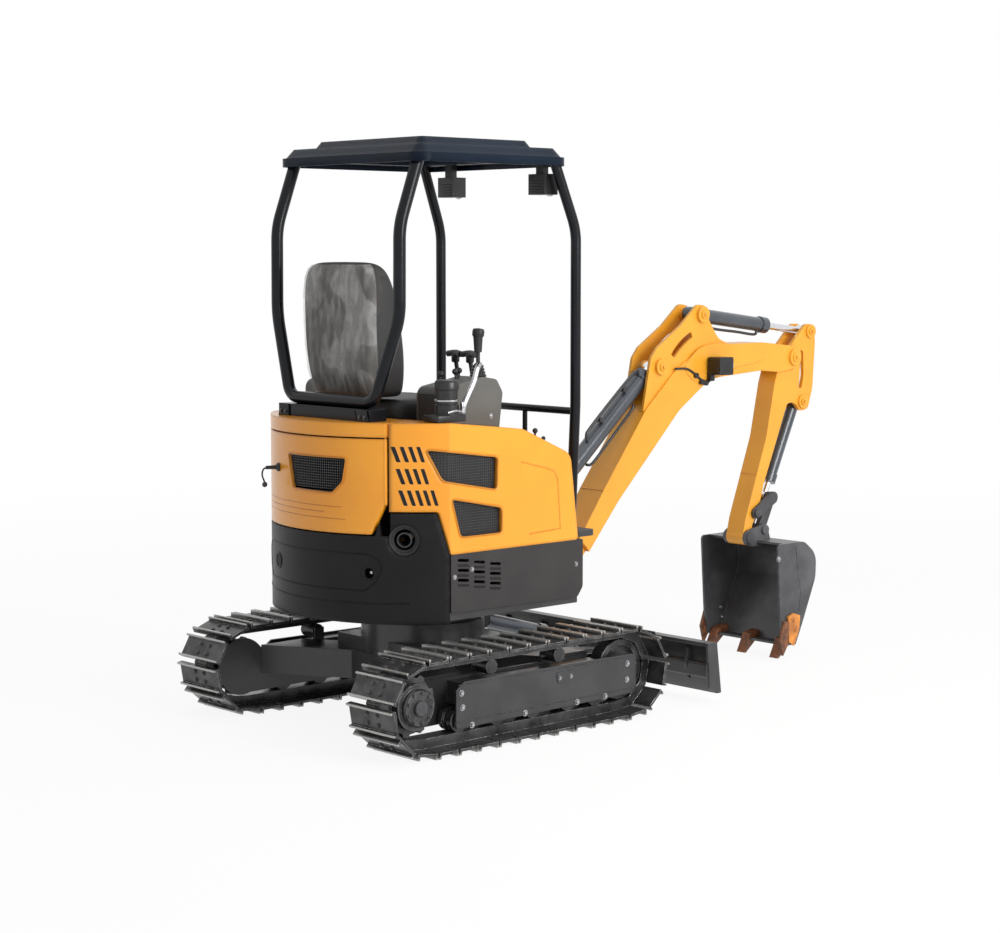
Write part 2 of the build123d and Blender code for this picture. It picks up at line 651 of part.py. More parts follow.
def bucket():
    """A welded shell with two side plates, a lip and the pin ears."""
    side = bucket_side()
    inside = offset(side, -BUCKET_PLATE)
    mouth = make_face(Polyline(
        (1880, 600), (1976, 600), (1976, 480), (1962, 180), (1990, 74), (1975, 40), (1880, 40), close=True,
    ))
    sides = pair(side, BUCKET_HALF - BUCKET_PLATE, BUCKET_HALF)
    wrap = slab(side - inside - mouth, -BUCKET_HALF + 1, BUCKET_HALF - 1)
    ear = make_hull(disc(BUCKET_PIVOT, 36).edges() + disc(LINK_EYE, 26).edges()
                    + disc((2062, 520), 14).edges() + disc((1944, 524), 14).edges())
    ear_in = ARM_HALF + FACE
    ears = pair(ear, ear_in, ear_in + 16)
    shape = sides + wrap + ears
    shape = shape + pair(disc(BUCKET_PIVOT, 28), ear_in + 16, ear_in + 26)
    shape = shape + pair(disc(LINK_EYE, 22), ear_in + 16, ear_in + 26)
    return shape + rod(BUCKET_PIVOT, SMALL_PIN_RADIUS, -ear_in - 2, ear_in + 2)


def bucket_teeth():
    """Three teeth on the lip and a cutter on each side plate."""
    tooth = make_face(Polyline((2052, 104), (1990, 92), (1946, 6), (1958, 4), (2066, 86), close=True))
    width = 46
    shape = None
    for i in range(TOOTH_COUNT):
        y = (i - (TOOTH_COUNT - 1) / 2) * (BUCKET_HALF - 40)
        one = slab(tooth, y - width / 2, y + width / 2)
        shape = one if shape is None else shape + one
    cutter = make_face(Polyline((2000, 170), (1990, 66), (1958, 20), (1936, 100), (1966, 180), close=True))
    return shape + pair(cutter, BUCKET_HALF, BUCKET_HALF + 12) - bucket()


# House

def plan_outline(inset, front):
    """The house seen from above: straight sides and a round tail."""
    half = HOUSE_HALF - inset
    radius = TAIL_RADIUS - inset
    x = -math.sqrt(radius ** 2 - half ** 2)
    tail = ThreePointArc((x, half), (-radius, 0), (x, -half))
    return make_face([
        tail,
        Line((x, -half), (front, -half)),
        Line((front, -half), (front, half)),
        Line((front, half), (x, half)),
    ])


def prism(face, z_min, z_max):
    """A face drawn in X and Y, made solid between two heights."""
    return Pos(0, 0, z_min) * extrude(face, amount=z_max - z_min)


def house_frame():
    """The deck on its bearing race, with the boss for the swing post."""
    deck = prism(plan_outline(DECK_INSET, HOUSE_FRONT - 10), DECK_BOTTOM, DECK_TOP)
    flange = block(-290, HOUSE_FRONT - 20, HOUSE_HALF - SKIRT_PLATE - 10, HOUSE_HALF - SKIRT_PLATE, DECK_TOP, DECK_TOP + 40)
    race = upright(0, 0, RING_RADIUS - 8, RING_TOP + FACE, DECK_BOTTOM)
    nose_plan = make_hull(
        (Pos(SWING_X, 0) * Circle(SWING_BOSS_RADIUS)).edges()
        + (Pos(SWING_X - 150, 0) * Rectangle(40, 2 * SWING_BOSS_RADIUS)).edges()
    )
    nose = prism(nose_plan, DECK_BOTTOM, DECK_BOTTOM + 130)
    bore = upright(SWING_X, 0, SWING_PIN_RADIUS + RUN, DECK_BOTTOM - 1, DECK_BOTTOM + 131)
    web_plan = make_face(Polyline((-80, 230), (-80, 190), (SWING_X - 130, 30), (SWING_X - 130, 60), close=True))
    webs = prism(web_plan, DECK_TOP, DECK_BOTTOM + 130)
    webs = webs + mirror(webs, about=Plane.XZ)
    return deck + flange + mirror(flange, about=Plane.XZ) + race + nose + webs - bore


def door_prism(gap):
    """The door's outline seen from behind, grown by a gap."""
    return make_face(Polyline(
        (DOOR_RIGHT_Y - gap, DOOR_TOP + gap + 100), (DOOR_RIGHT_Y - gap, CORNER_TOP + 30),
        (DOOR_RIGHT_Y + DOOR_SLANT - 10 - gap, DOOR_BOTTOM - gap),
        (DOOR_LEFT_Y - DOOR_SLANT + 10 + gap, DOOR_BOTTOM - gap),
        (DOOR_LEFT_Y + gap, CORNER_TOP + 30), (DOOR_LEFT_Y + gap, DOOR_TOP + gap + 100),
        close=True,
    ))


def rearward(face, x_min, x_max):
    """A face drawn in Y and Z, made solid between two places along X."""
    return Pos(x_min, 0, 0) * extrude(Plane.YZ * face, amount=x_max - x_min)


def radial_bore(angle, z, radius, depth):
    """A round hole bored into the tail, pointing at the slew axis."""
    turn = math.radians(180 + angle)
    start = TAIL_RADIUS + 100
    plane = Plane(origin=(start * math.cos(turn), start * math.sin(turn), z),
                  z_dir=(-math.cos(turn), -math.sin(turn), 0))
    return extrude(plane * Circle(radius), amount=100 + depth)


def counterweight():
    """The cast tail weight with raised corners, tow hole and exhaust hole."""
    tail = prism(plan_outline(0, 0), WEIGHT_BOTTOM, CORNER_TOP) - prism(plan_outline(WEIGHT_WALL, 1), 0, 1000)
    tail = tail - block(-308, 10, -600, 600, 0, 1000)
    tail = tail - prism(plan_outline(DECK_INSET - FACE, 1), 0, DECK_TOP)
    tail = tail - prism(plan_outline(COVER_WALL + SEAM, 1), SKIRT_TOP + 60, 1000)
    notch = make_face(Polyline((-348, CORNER_TOP), (-308, SKIRT_TOP), (-200, SKIRT_TOP), (-200, 950), (-348, 950),
                               close=True))
    shape = tail - slab(notch, -600, 600) - rearward(door_prism(SEAM), -700, -300)
    shape = shape - upright(HINGE_X, DOOR_RIGHT_Y, HINGE_RELIEF, DOOR_BOTTOM - SEAM, CORNER_TOP + 1)
    shape = shape - radial_bore(43, 783, 60, 28) - radial_bore(43, 783, 38, 200)
    return shape - radial_bore(30, 655, 20, 80)


def rear_door():
    """The curved door of the engine bay, turning on two upright pins."""
    wall = prism(plan_outline(0, 0) - plan_outline(COVER_WALL, 0), DOOR_BOTTOM, DOOR_TOP)
    outline = make_face(Polyline(
        (DOOR_RIGHT_Y, DOOR_TOP), (DOOR_RIGHT_Y, CORNER_TOP + 30), (DOOR_RIGHT_Y + DOOR_SLANT, DOOR_BOTTOM),
        (DOOR_LEFT_Y - DOOR_SLANT, DOOR_BOTTOM), (DOOR_LEFT_Y, CORNER_TOP + 30), (DOOR_LEFT_Y, DOOR_TOP), close=True,
    ))
    shape = wall & rearward(outline, -700, -300)
    shape = shape + upright(HINGE_X, DOOR_RIGHT_Y, COVER_WALL / 2, CORNER_TOP + 30, DOOR_TOP)
    window = rounded([(95, 1090), (-220, 1090), (-205, 998), (-160, 954), (60, 958)], [8, 12, 20, 16, 16])
    shape = shape - rearward(window, -700, -300)
    screen = prism(plan_outline(COVER_WALL - 4, 0) - plan_outline(COVER_WALL, 0), 940, 1100)
    screen = screen & rearward(make_face(Polyline((110, 1100), (-235, 1100), (-235, 940), (110, 940), close=True)),
                               -700, -300)
    pins = upright(HINGE_X, DOOR_RIGHT_Y, HINGE_PIN, DOOR_TOP - 1, DOOR_TOP + SEAM + 8)
    return shape + screen + pins


def cover_face(front, nose, shoulder, rear):
    """A side cover seen from the side, stepping up over the tail weight."""
    return rounded(
        [(-620, CORNER_TOP + SEAM), (-342, CORNER_TOP + SEAM), (-302, SKIRT_TOP),
         (front, SKIRT_TOP), nose, shoulder, rear, (-620, HOOD_TOP)],
        [0, 12, 8, 14, 60, 120, 60, 0],
    )


def cover_body(face, front, inner):
    """The outer form of a side cover, not yet hollow."""
    return prism(plan_outline(0, front), SKIRT_TOP, HOOD_TOP) & slab(face, -HOUSE_HALF, inner)


def cover_shell(face, front, inner, door_edge):
    """A hollow side cover on the right, open below and towards the middle."""
    inside = prism(plan_outline(COVER_WALL, front), SKIRT_TOP - 40, HOOD_TOP)
    body = cover_body(face, front, inner)
    hollow = inside & slab(Pos(-COVER_WALL, -COVER_WALL) * face, -HOUSE_HALF, inner)
    body = body - hollow
    return body - block(-700, COVER_REAR_TOP[0] - SEAM, door_edge, 0, 600, 1400)


def grille_faces():
    """The two openings of the right-hand cover that hold mesh."""
    upper = rounded([(-383, 1127), (-63, 1084), (-68, 956), (-332, 1005)], [10, 14, 14, 14])
    lower = rounded([(-300, 939), (-42, 888), (-42, 788), (-255, 788)], [14, 14, 14, 14])
    return upper, lower


def right_face():
    return cover_face(COVER_FRONT, COVER_NOSE_TOP, COVER_BREAK_TOP, COVER_REAR_TOP)


def left_face():
    front = LEFT_COVER_FRONT
    return cover_face(front, (front - 12, 1050), (front - 80, 1180), COVER_REAR_TOP)


def side_cover_right():
    """The tall housing on the right with its mesh openings."""
    shape = cover_shell(right_face(), COVER_FRONT, COVER_INNER, DOOR_RIGHT_Y - COVER_WALL / 2 - SEAM - 3)
    upper, lower = grille_faces()
    return shape - slab(upper + lower, -HOUSE_HALF - 1, -400)


def grille_screens():
    """Mesh panels seated against the inside of the cover's openings."""
    skin = prism(plan_outline(COVER_WALL, 1) - plan_outline(COVER_WALL + 4, 1), 700, 1200)
    upper, lower = grille_faces()
    return skin & (slab(offset(upper, 8), -HOUSE_HALF, -400) + slab(offset(lower, 8), -HOUSE_HALF, -400))


def side_cover_left():
    """The lower housing on the left, beside the seat."""
    shape = cover_shell(left_face(), LEFT_COVER_FRONT, -LEFT_COVER_INNER, -DOOR_LEFT_Y - SEAM)
    return mirror(shape, about=Plane.XZ)


def side_skirts():
    """Dark panels below the covers, wrapped round the front corners."""
    face = rounded(
        [(-308 + SEAM, SKIRT_BOTTOM + 8), (HOUSE_FRONT - 30, SKIRT_BOTTOM), (HOUSE_FRONT, SKIRT_BOTTOM + 40),
         (HOUSE_FRONT, SKIRT_TOP), (-308 + SEAM, SKIRT_TOP)],
        [8, 20, 30, 8, 4],
    )
    panel = slab(face, -HOUSE_HALF, -HOUSE_HALF + SKIRT_PLATE)
    corner = slab(face, -HOUSE_HALF + SKIRT_PLATE - 2, -HOUSE_HALF + 110)
    corner = corner & block(HOUSE_FRONT - 9, HOUSE_FRONT, -600, 0, 400, 800)
    shape = panel + corner
    for column in range(3):
        for row in range(3):
            x = -240 + 82 * column
            z = 700 - 38 * row - 14 * column
            slot = Pos(x, z) * Rot(0, 0, -6) * SlotOverall(58, 12)
            shape = shape - slab(slot, -HOUSE_HALF - 1, -HOUSE_HALF + SKIRT_PLATE + 1)
    return shape + mirror(shape, about=Plane.XZ)


def engine_hood():
    """The band above the door and the flat top behind the seat."""
    right = DOOR_RIGHT_Y - COVER_WALL / 2
    front = COVER_REAR_TOP[0] - 2 * SEAM
    outside = prism(plan_outline(0, front), DOOR_TOP + SEAM, HOOD_TOP)
    inside = prism(plan_outline(COVER_WALL, front), DOOR_TOP, HOOD_TOP - HOOD_PLATE)
    shape = outside - inside
    shape = shape & block(-700, front, right, DOOR_LEFT_Y, 1000, 1400)
    return shape - upright(HINGE_X, DOOR_RIGHT_Y, HINGE_PIN + RUN, DOOR_TOP, DOOR_TOP + SEAM + 10)


def engine_block():
    """The engine, as one plain block on the deck."""
    return block(-400, -110, -190, 210, DECK_TOP, 900)


def floor_plate():
    """The floor with a turned-up edge at the front."""
    plate = block(LEFT_COVER_FRONT + SEAM, FLOOR_FRONT, COVER_INNER + SEAM, HOUSE_HALF - 4, FLOOR_BOTTOM, FLOOR_TOP)
    plate = plate + block(COVER_FRONT + SEAM, FLOOR_FRONT, -HOUSE_HALF + 4, COVER_INNER + SEAM + 1, FLOOR_BOTTOM, FLOOR_TOP)
    plate = fillet(plate.edges().filter_by(Axis.Z).sort_by(Axis.X)[-2:], 40)
    front = block(COVER_FRONT + SEAM, HOUSE_FRONT - 11, -480, 480, DECK_TOP, FLOOR_BOTTOM)
    front = front - block(COVER_FRONT, HOUSE_FRONT, -95, 95, DECK_TOP - 1, DECK_BOTTOM + 142)
    return plate + front


def seat_base():
    """The box below the seat, open at the bottom."""
    right = COVER_INNER + SEAM
    left = LEFT_COVER_INNER - SEAM
    outside = block(COVER_REAR_TOP[0], 60, right, left, FLOOR_TOP, SEAT_BASE_TOP)
    inside = block(COVER_REAR_TOP[0] - 1, 44, right + 16, left - 16, FLOOR_TOP - 1, SEAT_BASE_TOP - 16)
    shape = outside - inside
    return fillet(shape.edges().filter_by(Axis.Y).sort_by(Axis.X)[-1:], 6)


def seat_cushion():
    shape = block(-292, 120, SEAT_Y - 230, SEAT_Y + 230, SEAT_BASE_TOP, SEAT_TOP)
    return fillet(shape.edges().filter_by(Axis.X) + shape.edges().filter_by(Axis.Y).sort_by(Axis.Z)[-2:], 30)


def seat_back():
    face = rounded(
        [(-292, SEAT_TOP), (-205, SEAT_TOP), (-262, 1500), (-318, 1825), (-405, 1825), (-380, 1450)],
        [4, 4, 200, 36, 36, 200],
    )
    shape = slab(face, SEAT_Y - 225, SEAT_Y + 225)
    return shape


def console(y_in, y_out):
    """An armrest box with a sloping front on one side of the seat."""
    face = rounded(
        [(-250, 1150), (50, 1150), (72, 1320), (40, 1372), (-30, 1383), (-250, 1345)],
        [10, 20, 24, 30, 60, 40],
    )
    return slab(face, y_in, y_out)


def console_right():
    """The right-hand console, standing on the cover."""
    return console(-400, -262) - cover_body(right_face(), COVER_FRONT, COVER_INNER)


def console_left():
    """The left-hand console, standing on the lower cover."""
    cover = mirror(cover_body(left_face(), LEFT_COVER_FRONT, -LEFT_COVER_INNER), about=Plane.XZ)
    return console(LEFT_COVER_INNER, 440) - cover


def joystick(x, y, z):
    """A control lever: round boot, stem and handle."""
    boot = Pos(x, y, z) * Cone(30, 16, 60, align=(Align.CENTER, Align.CENTER, Align.MIN))
    stem = upright(x, y, 8, z + 55, z + 110)
    grip = Pos(x, y, z + 105) * Cone(15, 20, 75, align=(Align.CENTER, Align.CENTER, Align.MIN))
    return boot + stem + grip


def control_levers():
    """Two joysticks and two travel levers with their pedals."""
    shape = joystick(6, -330, 1370) + joystick(6, 385, 1370) - console_right() - console_left()
    for y in (SEAT_Y - 45, SEAT_Y + 45):
        lever = bent_tube([(330, y, FLOOR_TOP), (330, y, 1080), (260, y, 1440)], [60], 9)
        pedal = rounded([(290, FLOOR_TOP + 60), (400, FLOOR_TOP + 100), (400, FLOOR_TOP + 112), (290, FLOOR_TOP + 72)],
                        [4, 4, 4, 4])
        shape = shape + lever + upright(330, y, 22, FLOOR_TOP, FLOOR_TOP + 80) + slab(pedal, y - 36, y + 36)
    return shape


# Canopy

def below_pocket(shape):
    """Trim tube ends flush with the roof's pocket."""
    return shape & block(-700, 700, -600, 600, 0, CANOPY_POCKET)


def canopy_rear_loop():
    """The rear roll bar, bent from one tube and tapered at its foot."""
    top = CANOPY_POCKET + 20
    right = [(-328, -POST_HALF, top), (-430, -POST_HALF, 1960), (-432, -POST_HALF, 1620), (-460, -262, LOOP_BOTTOM)]
    left = [(x, -y, z) for x, y, z in reversed(right)]
    return below_pocket(bent_tube(right + left, [300, 300, 70, 70, 300, 300], TUBE_RADIUS))


def canopy_mount():
    """The bracket that bolts the roll bar to the hood."""
    return block(-500, -420, -285, 285, HOOD_TOP, LOOP_BOTTOM - TUBE_RADIUS)


def canopy_front_frame():
    """The two front posts with the hand rail between them."""
    shape = Pos(FRONT_POST_X, 0, RAIL_Z) * Rot(90, 0, 0) * Cylinder(15, 2 * FRONT_POST_Y - 4)
    for side in (-1, 1):
        y = side * FRONT_POST_Y
        line = [(FRONT_POST_X - 26, y, FLOOR_TOP - 20), (FRONT_POST_X, y, 1250), (FRONT_POST_X, y, 1950),
                (345, side * (FRONT_POST_Y - 16), CANOPY_POCKET + 20)]
        shape = shape + bent_tube(line, [900, 260], FRONT_POST_RADIUS)
    return below_pocket(shape) & block(-700, 700, -600, 600, FLOOR_TOP, CANOPY_POCKET)


def canopy_roof():
    """A moulded roof: lip, sloping shoulder and raised panels."""
    length = CANOPY_FRONT - CANOPY_REAR
    centre = Pos((CANOPY_FRONT + CANOPY_REAR) / 2, 0)
    lip = RectangleRounded(length, 2 * CANOPY_HALF, 60)
    shape = prism(centre * lip, CANOPY_UNDER, CANOPY_UNDER + 34)
    shoulder = extrude(Pos(0, 0, CANOPY_UNDER + 34) * centre * RectangleRounded(length - 24, 2 * CANOPY_HALF - 24, 50),
                       amount=36, taper=42)
    shape = shape + shoulder
    panel = extrude(Pos(0, 0, CANOPY_UNDER + 68) * centre * RectangleRounded(length - 190, 2 * CANOPY_HALF - 200, 40),
                    amount=CANOPY_TOP - CANOPY_UNDER - 68, taper=40)
    shape = shape + panel
    pocket = prism(centre * RectangleRounded(length - 14, 2 * CANOPY_HALF - 14, 53), CANOPY_UNDER, CANOPY_POCKET)
    under_panel = centre * RectangleRounded(length - 250, 2 * CANOPY_HALF - 260, 30)
    return shape - pocket - prism(under_panel, CANOPY_UNDER, CANOPY_TOP - 14)


def work_lamps():
    """Two box lamps hung below the front edge of the roof."""
    shape = None
    for y in (-318, 233):
        lamp = block(330, 400, y - 48, y + 48, 2090, 2172)
        lamp = lamp + block(345, 375, y - 20, y + 20, 2170, CANOPY_POCKET)
        shape = lamp if shape is None else shape + lamp
    return shape


NODES = {
    "car_body": car_body(),
    "track_frames": track_frames(),
    "track_right": track(-1),
    "track_left": track(1),
    "sprockets": sprockets(),
    "idlers": idlers(),
    "rollers": rollers(),
    "slew_ring": slew_ring(),
    "blade": blade(),
    "blade_cylinder": blade_cylinder(),
    "blade_rod": blade_rod(),
    "house_frame": house_frame(),
    "counterweight": counterweight(),
    "side_cover_right": side_cover_right(),
    "side_cover_left": side_cover_left(),
    "grille_screens": grille_screens(),
    "side_skirts": side_skirts(),
    "engine_hood": engine_hood(),
    "engine_block": engine_block(),
    "rear_door": rear_door(),
    "floor_plate": floor_plate(),
    "seat_base": seat_base(),
    "seat_cushion": seat_cushion(),
    "seat_back": seat_back(),
    "console_right": console_right(),
    "console_left": console_left(),
    "control_levers": control_levers(),
    "canopy_rear_loop": canopy_rear_loop(),
    "canopy_mount": canopy_mount(),
    "canopy_front_frame": canopy_front_frame(),
    "canopy_roof": canopy_roof(),
    "work_lamps": work_lamps(),
    "swing_post": swing_post(),
    "boom": boom(),
    "boom_lamp": boom_lamp(),
    "boom_cylinder": boom_cylinder(),
    "boom_rod": boom_rod(),
    "arm": arm(),
    "arm_cylinder": arm_cylinder(),
    "arm_rod": arm_rod(),
    "bucket_cylinder": bucket_cylinder(),
    "bucket_rod": bucket_rod(),
    "rocker": rocker(),
    "bucket_link": bucket_link(),
    "bucket": bucket(),
    "bucket_teeth": bucket_teeth(),
}

# The origin is on the ground under the middle of the machine's bounding box.

LOWEST_X = min(shape.bounding_box().min.X for shape in NODES.values())
HIGHEST_X = max(shape.bounding_box().max.X for shape in NODES.values())
ORIGIN_X = (LOWEST_X + HIGHEST_X) / 2

os.makedirs("parts", exist_ok=True)
for name, shape in NODES.items():
    export_step(Pos(-ORIGIN_X, 0, 0) * shape, f"parts/{name}.step")
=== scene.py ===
import json
import math

import bmesh
import bpy
from mathutils import Matrix, Vector


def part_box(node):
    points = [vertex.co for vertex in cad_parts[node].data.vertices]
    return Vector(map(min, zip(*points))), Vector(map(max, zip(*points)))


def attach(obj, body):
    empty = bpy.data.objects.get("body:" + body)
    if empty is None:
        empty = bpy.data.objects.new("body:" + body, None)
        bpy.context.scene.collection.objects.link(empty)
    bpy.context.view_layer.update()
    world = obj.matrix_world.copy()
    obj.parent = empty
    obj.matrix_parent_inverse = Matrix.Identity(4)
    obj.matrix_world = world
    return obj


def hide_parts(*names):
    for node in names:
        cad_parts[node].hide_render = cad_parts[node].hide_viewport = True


# Looks for the small tracked excavator. Metres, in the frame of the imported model: +X forward,
# +Y to the left, +Z up. Most places are counted from the slew axis, which SLEW gives.

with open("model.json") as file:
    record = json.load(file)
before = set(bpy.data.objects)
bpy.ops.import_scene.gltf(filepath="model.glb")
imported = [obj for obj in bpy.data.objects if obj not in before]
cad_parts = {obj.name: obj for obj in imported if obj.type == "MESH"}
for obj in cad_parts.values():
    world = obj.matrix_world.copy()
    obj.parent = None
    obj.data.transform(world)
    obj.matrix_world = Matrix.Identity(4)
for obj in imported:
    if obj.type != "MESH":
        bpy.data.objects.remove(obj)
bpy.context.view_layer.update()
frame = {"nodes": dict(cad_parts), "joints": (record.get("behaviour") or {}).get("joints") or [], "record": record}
SLEW = next(joint["pos_m"][0] for joint in frame["joints"] if joint["name"] == "slew")

TAIL_RADIUS = 0.605
HOUSE_HALF = 0.521
TAIL_START = -math.sqrt(TAIL_RADIUS ** 2 - HOUSE_HALF ** 2)
COVER_WALL = 0.016
TUMBLER_X = 0.545
TUMBLER_Z = 0.19
SIDES = (("right", -1), ("left", 1))
UP = Vector((0, 0, 1))


def at(x, y, z):
    """A place given from the slew axis and the ground."""
    return Vector((SLEW + x, y, z))


# Materials

MATERIALS = {}


def new_material(name):
    mat = bpy.data.materials.new(name)
    mat.use_nodes = True
    MATERIALS[name] = mat
    return mat.node_tree


def set_inputs(tree, node, inputs):
    """Gives each input a value, or links it to another node's output."""
    for key, value in inputs.items():
        if isinstance(value, bpy.types.NodeSocket):
            tree.links.new(value, node.inputs[key])
        else:
            node.inputs[key].default_value = value


def add_node(tree, kind, inputs, output, **settings):
    """A new node with its settings and inputs; gives back one of its outputs."""
    node = tree.nodes.new("ShaderNode" + kind)
    for key, value in settings.items():
        setattr(node, key, value)
    set_inputs(tree, node, inputs)
    return node.outputs[output]


def maths(tree, operation, *values, kind="Math"):
    return add_node(tree, kind, dict(enumerate(values)), "Value", operation=operation)


def map_range(tree, value, low=0.0, high=1.0, to_low=0.0, to_high=1.0):
    inputs = {"Value": value, "From Min": low, "From Max": high, "To Min": to_low, "To Max": to_high}
    return add_node(tree, "MapRange", inputs, "Result")


def mix_colours(tree, share, first, second):
    return add_node(tree, "Mix", {0: share, 6: first, 7: (*second, 1)}, 2, data_type="RGBA")


def noise(tree, scale, detail=4.0, stretch=(1, 1, 1)):
    """Noise over the object's own coordinates."""
    place = add_node(tree, "TexCoord", {}, "Object")
    mapped = add_node(tree, "Mapping", {"Vector": place, "Scale": stretch}, "Vector")
    return add_node(tree, "TexNoise", {"Vector": mapped, "Scale": scale, "Detail": detail}, "Fac")


def ramp(tree, source, low, high, first, second):
    """A colour ramp between two values of its source."""
    fac = add_node(tree, "ValToRGB", {"Fac": source}, "Color")
    for element, position, colour in zip(fac.node.color_ramp.elements, (low, high), (first, second)):
        element.position = position
        element.color = (*colour, 1)
    return fac


def relief(tree, height, strength, distance=0.002, **normal):
    """Bump from a height."""
    inputs = {"Height": height, "Strength": strength, "Distance": distance, **normal}
    return add_node(tree, "Bump", inputs, "Normal")


def edge_mask(tree, radius):
    """White along the edges of a piece, from how far a rounded normal turns."""
    rounded = add_node(tree, "Bevel", {"Radius": radius}, "Normal", samples=4)
    normal = add_node(tree, "NewGeometry", {}, "Normal")
    dot = maths(tree, "DOT_PRODUCT", rounded, normal, kind="VectorMath")
    return map_range(tree, dot, 0.995, 0.86), rounded


def surface(name, colour, second=None, rough=0.4, spread=0.08, metallic=0.0, coat=0.0, blotch=6.0,
            grain=0.0, grain_scale=900.0, edge=None, edge_wear_and_highlight=0.5, edge_radius=0.003, bump=0.0,
            bump_scale=40.0, specular=0.5):
    """Colour with slow variation, a rough grain, rounded edges, and a lighter colour along them that is painted
    highlight mixed with wear.
    """
    tree = new_material(name)
    slow = noise(tree, blotch, 5.0)
    base = ramp(tree, slow, 0.36, 0.64, second or [c * 0.82 for c in colour], colour)
    mask, normal = edge_mask(tree, edge_radius)
    # Painted highlight mixed with wear: a lighter colour along the edges, broken into patches.
    if edge:
        edge_patches = ramp(tree, noise(tree, 55.0, 6.0), 0.42, 0.58, (0, 0, 0), (1, 1, 1))
        share = maths(tree, "MULTIPLY", maths(tree, "MULTIPLY", mask, edge_patches), edge_wear_and_highlight)
        base = mix_colours(tree, share, base, edge)
    for strength, scale in ((bump, bump_scale), (grain, grain_scale)):
        if strength:
            normal = relief(tree, noise(tree, scale, 3.0), strength, Normal=normal)
    roughness = map_range(tree, slow, to_low=rough - spread, to_high=rough + spread)
    set_inputs(tree, tree.nodes["Principled BSDF"], {
        "Base Color": base, "Roughness": roughness, "Metallic": metallic, "Specular IOR Level": specular,
        "Coat Weight": coat, "Coat Roughness": 0.12, "Normal": normal})


BLACK = (0.008, 0.008, 0.009)

surface("body_paint", (0.92, 0.365, 0.014), (0.87, 0.325, 0.01), 0.32, 0.05, coat=0.35, blotch=3.0,
        grain=0.04, grain_scale=260.0, edge_radius=0.02)
# The boom's lighter yellow-orange edge colour is a painted highlight along its edges.
surface("boom_paint", (0.86, 0.39, 0.028), (0.8, 0.345, 0.022), 0.34, 0.06, coat=0.15, blotch=4.0,
        grain=0.05, grain_scale=240.0, edge=(0.98, 0.62, 0.16), edge_wear_and_highlight=0.35)
surface("weight_paint", (0.014, 0.013, 0.014), (0.01, 0.009, 0.01), 0.4, 0.07, blotch=5.0, bump=0.15,
        bump_scale=45.0, grain=0.1, grain_scale=500.0, edge=(0.05, 0.05, 0.055), edge_wear_and_highlight=0.3,
        edge_radius=0.024, specular=0.16)
# A lighter copy of the weight's dark paint for the side skirts: the lift in colour is painted light.
surface("skirt_paint_lit", (0.036, 0.032, 0.032), (0.028, 0.025, 0.025), 0.48, 0.06, grain=0.08,
        grain_scale=500.0, edge=(0.16, 0.16, 0.16), edge_wear_and_highlight=0.3, specular=0.35)
surface("frame_paint", (0.04, 0.039, 0.042), (0.024, 0.024, 0.026), 0.36, 0.1, coat=0.15, blotch=7.0,
        bump=0.1, bump_scale=50.0, edge=(0.2, 0.2, 0.21), edge_wear_and_highlight=0.55)
surface("tube_paint", (0.007, 0.008, 0.011), (0.005, 0.006, 0.008), 0.22, 0.05, coat=0.05, blotch=8.0,
        grain=0.05, grain_scale=400.0, edge=(0.1, 0.11, 0.13), edge_wear_and_highlight=0.3, specular=0.2)
surface("roof_plastic", (0.009, 0.018, 0.034), (0.006, 0.012, 0.024), 0.24, 0.05, blotch=2.5, bump=0.12,
        bump_scale=14.0, grain=0.05, grain_scale=600.0, edge_radius=0.03, specular=0.1)
surface("console_plastic", (0.118, 0.117, 0.108), (0.094, 0.093, 0.086), 0.55, 0.06, grain=0.3,
        grain_scale=1400.0, edge=(0.22, 0.22, 0.2), edge_wear_and_highlight=0.3, edge_radius=0.008)
surface("grip_plastic", BLACK, (0.014, 0.014, 0.015), 0.42, 0.08, blotch=20.0, grain=0.2,
        grain_scale=1800.0, edge=(0.1, 0.1, 0.1), edge_radius=0.004)
surface("floor_steel", (0.04, 0.04, 0.042), None, 0.55, 0.1, blotch=9.0, bump=0.2, bump_scale=90.0,
        edge=(0.2, 0.2, 0.2))
surface("mesh", (0.011, 0.011, 0.012), None, 0.6, 0.1, blotch=30.0)
surface("wire", (0.085, 0.085, 0.088), None, 0.4, 0.1, metallic=0.3, blotch=30.0, edge_radius=0.0005)
surface("engine", (0.02, 0.022, 0.021), None, 0.55, 0.1, blotch=10.0, bump=0.3)
# The pale edge colour at full amount is a painted highlight on the shoes' edges.
surface("track_steel", (0.085, 0.084, 0.086), (0.03, 0.03, 0.031), 0.3, 0.12, metallic=0.45, blotch=16.0,
        bump=0.25, bump_scale=120.0, edge=(0.62, 0.61, 0.6), edge_wear_and_highlight=1.0, edge_radius=0.0028)
surface("bearing_steel", (0.022, 0.022, 0.023), None, 0.35, 0.1, metallic=0.6, blotch=12.0)
surface("cylinder_paint", (0.052, 0.062, 0.078), (0.038, 0.047, 0.06), 0.28, 0.06, coat=0.4, blotch=8.0,
        edge=(0.18, 0.2, 0.22), edge_wear_and_highlight=0.4)
surface("chrome_rod", (0.78, 0.79, 0.81), (0.7, 0.71, 0.74), 0.1, 0.04, metallic=1.0, blotch=30.0)
surface("link_steel", (0.062, 0.062, 0.066), (0.04, 0.04, 0.044), 0.42, 0.1, blotch=14.0,
        edge=(0.3, 0.3, 0.31))
surface("bucket_steel", (0.105, 0.106, 0.112), (0.056, 0.057, 0.062), 0.36, 0.12, metallic=0.15, blotch=7.0,
        bump=0.2, bump_scale=50.0, edge=(0.3, 0.31, 0.33), edge_wear_and_highlight=0.7)
surface("tooth_steel", (0.235, 0.085, 0.032), (0.1, 0.036, 0.016), 0.55, 0.12, blotch=35.0, bump=0.4,
        bump_scale=150.0, edge=(0.5, 0.27, 0.13), edge_wear_and_highlight=0.7)
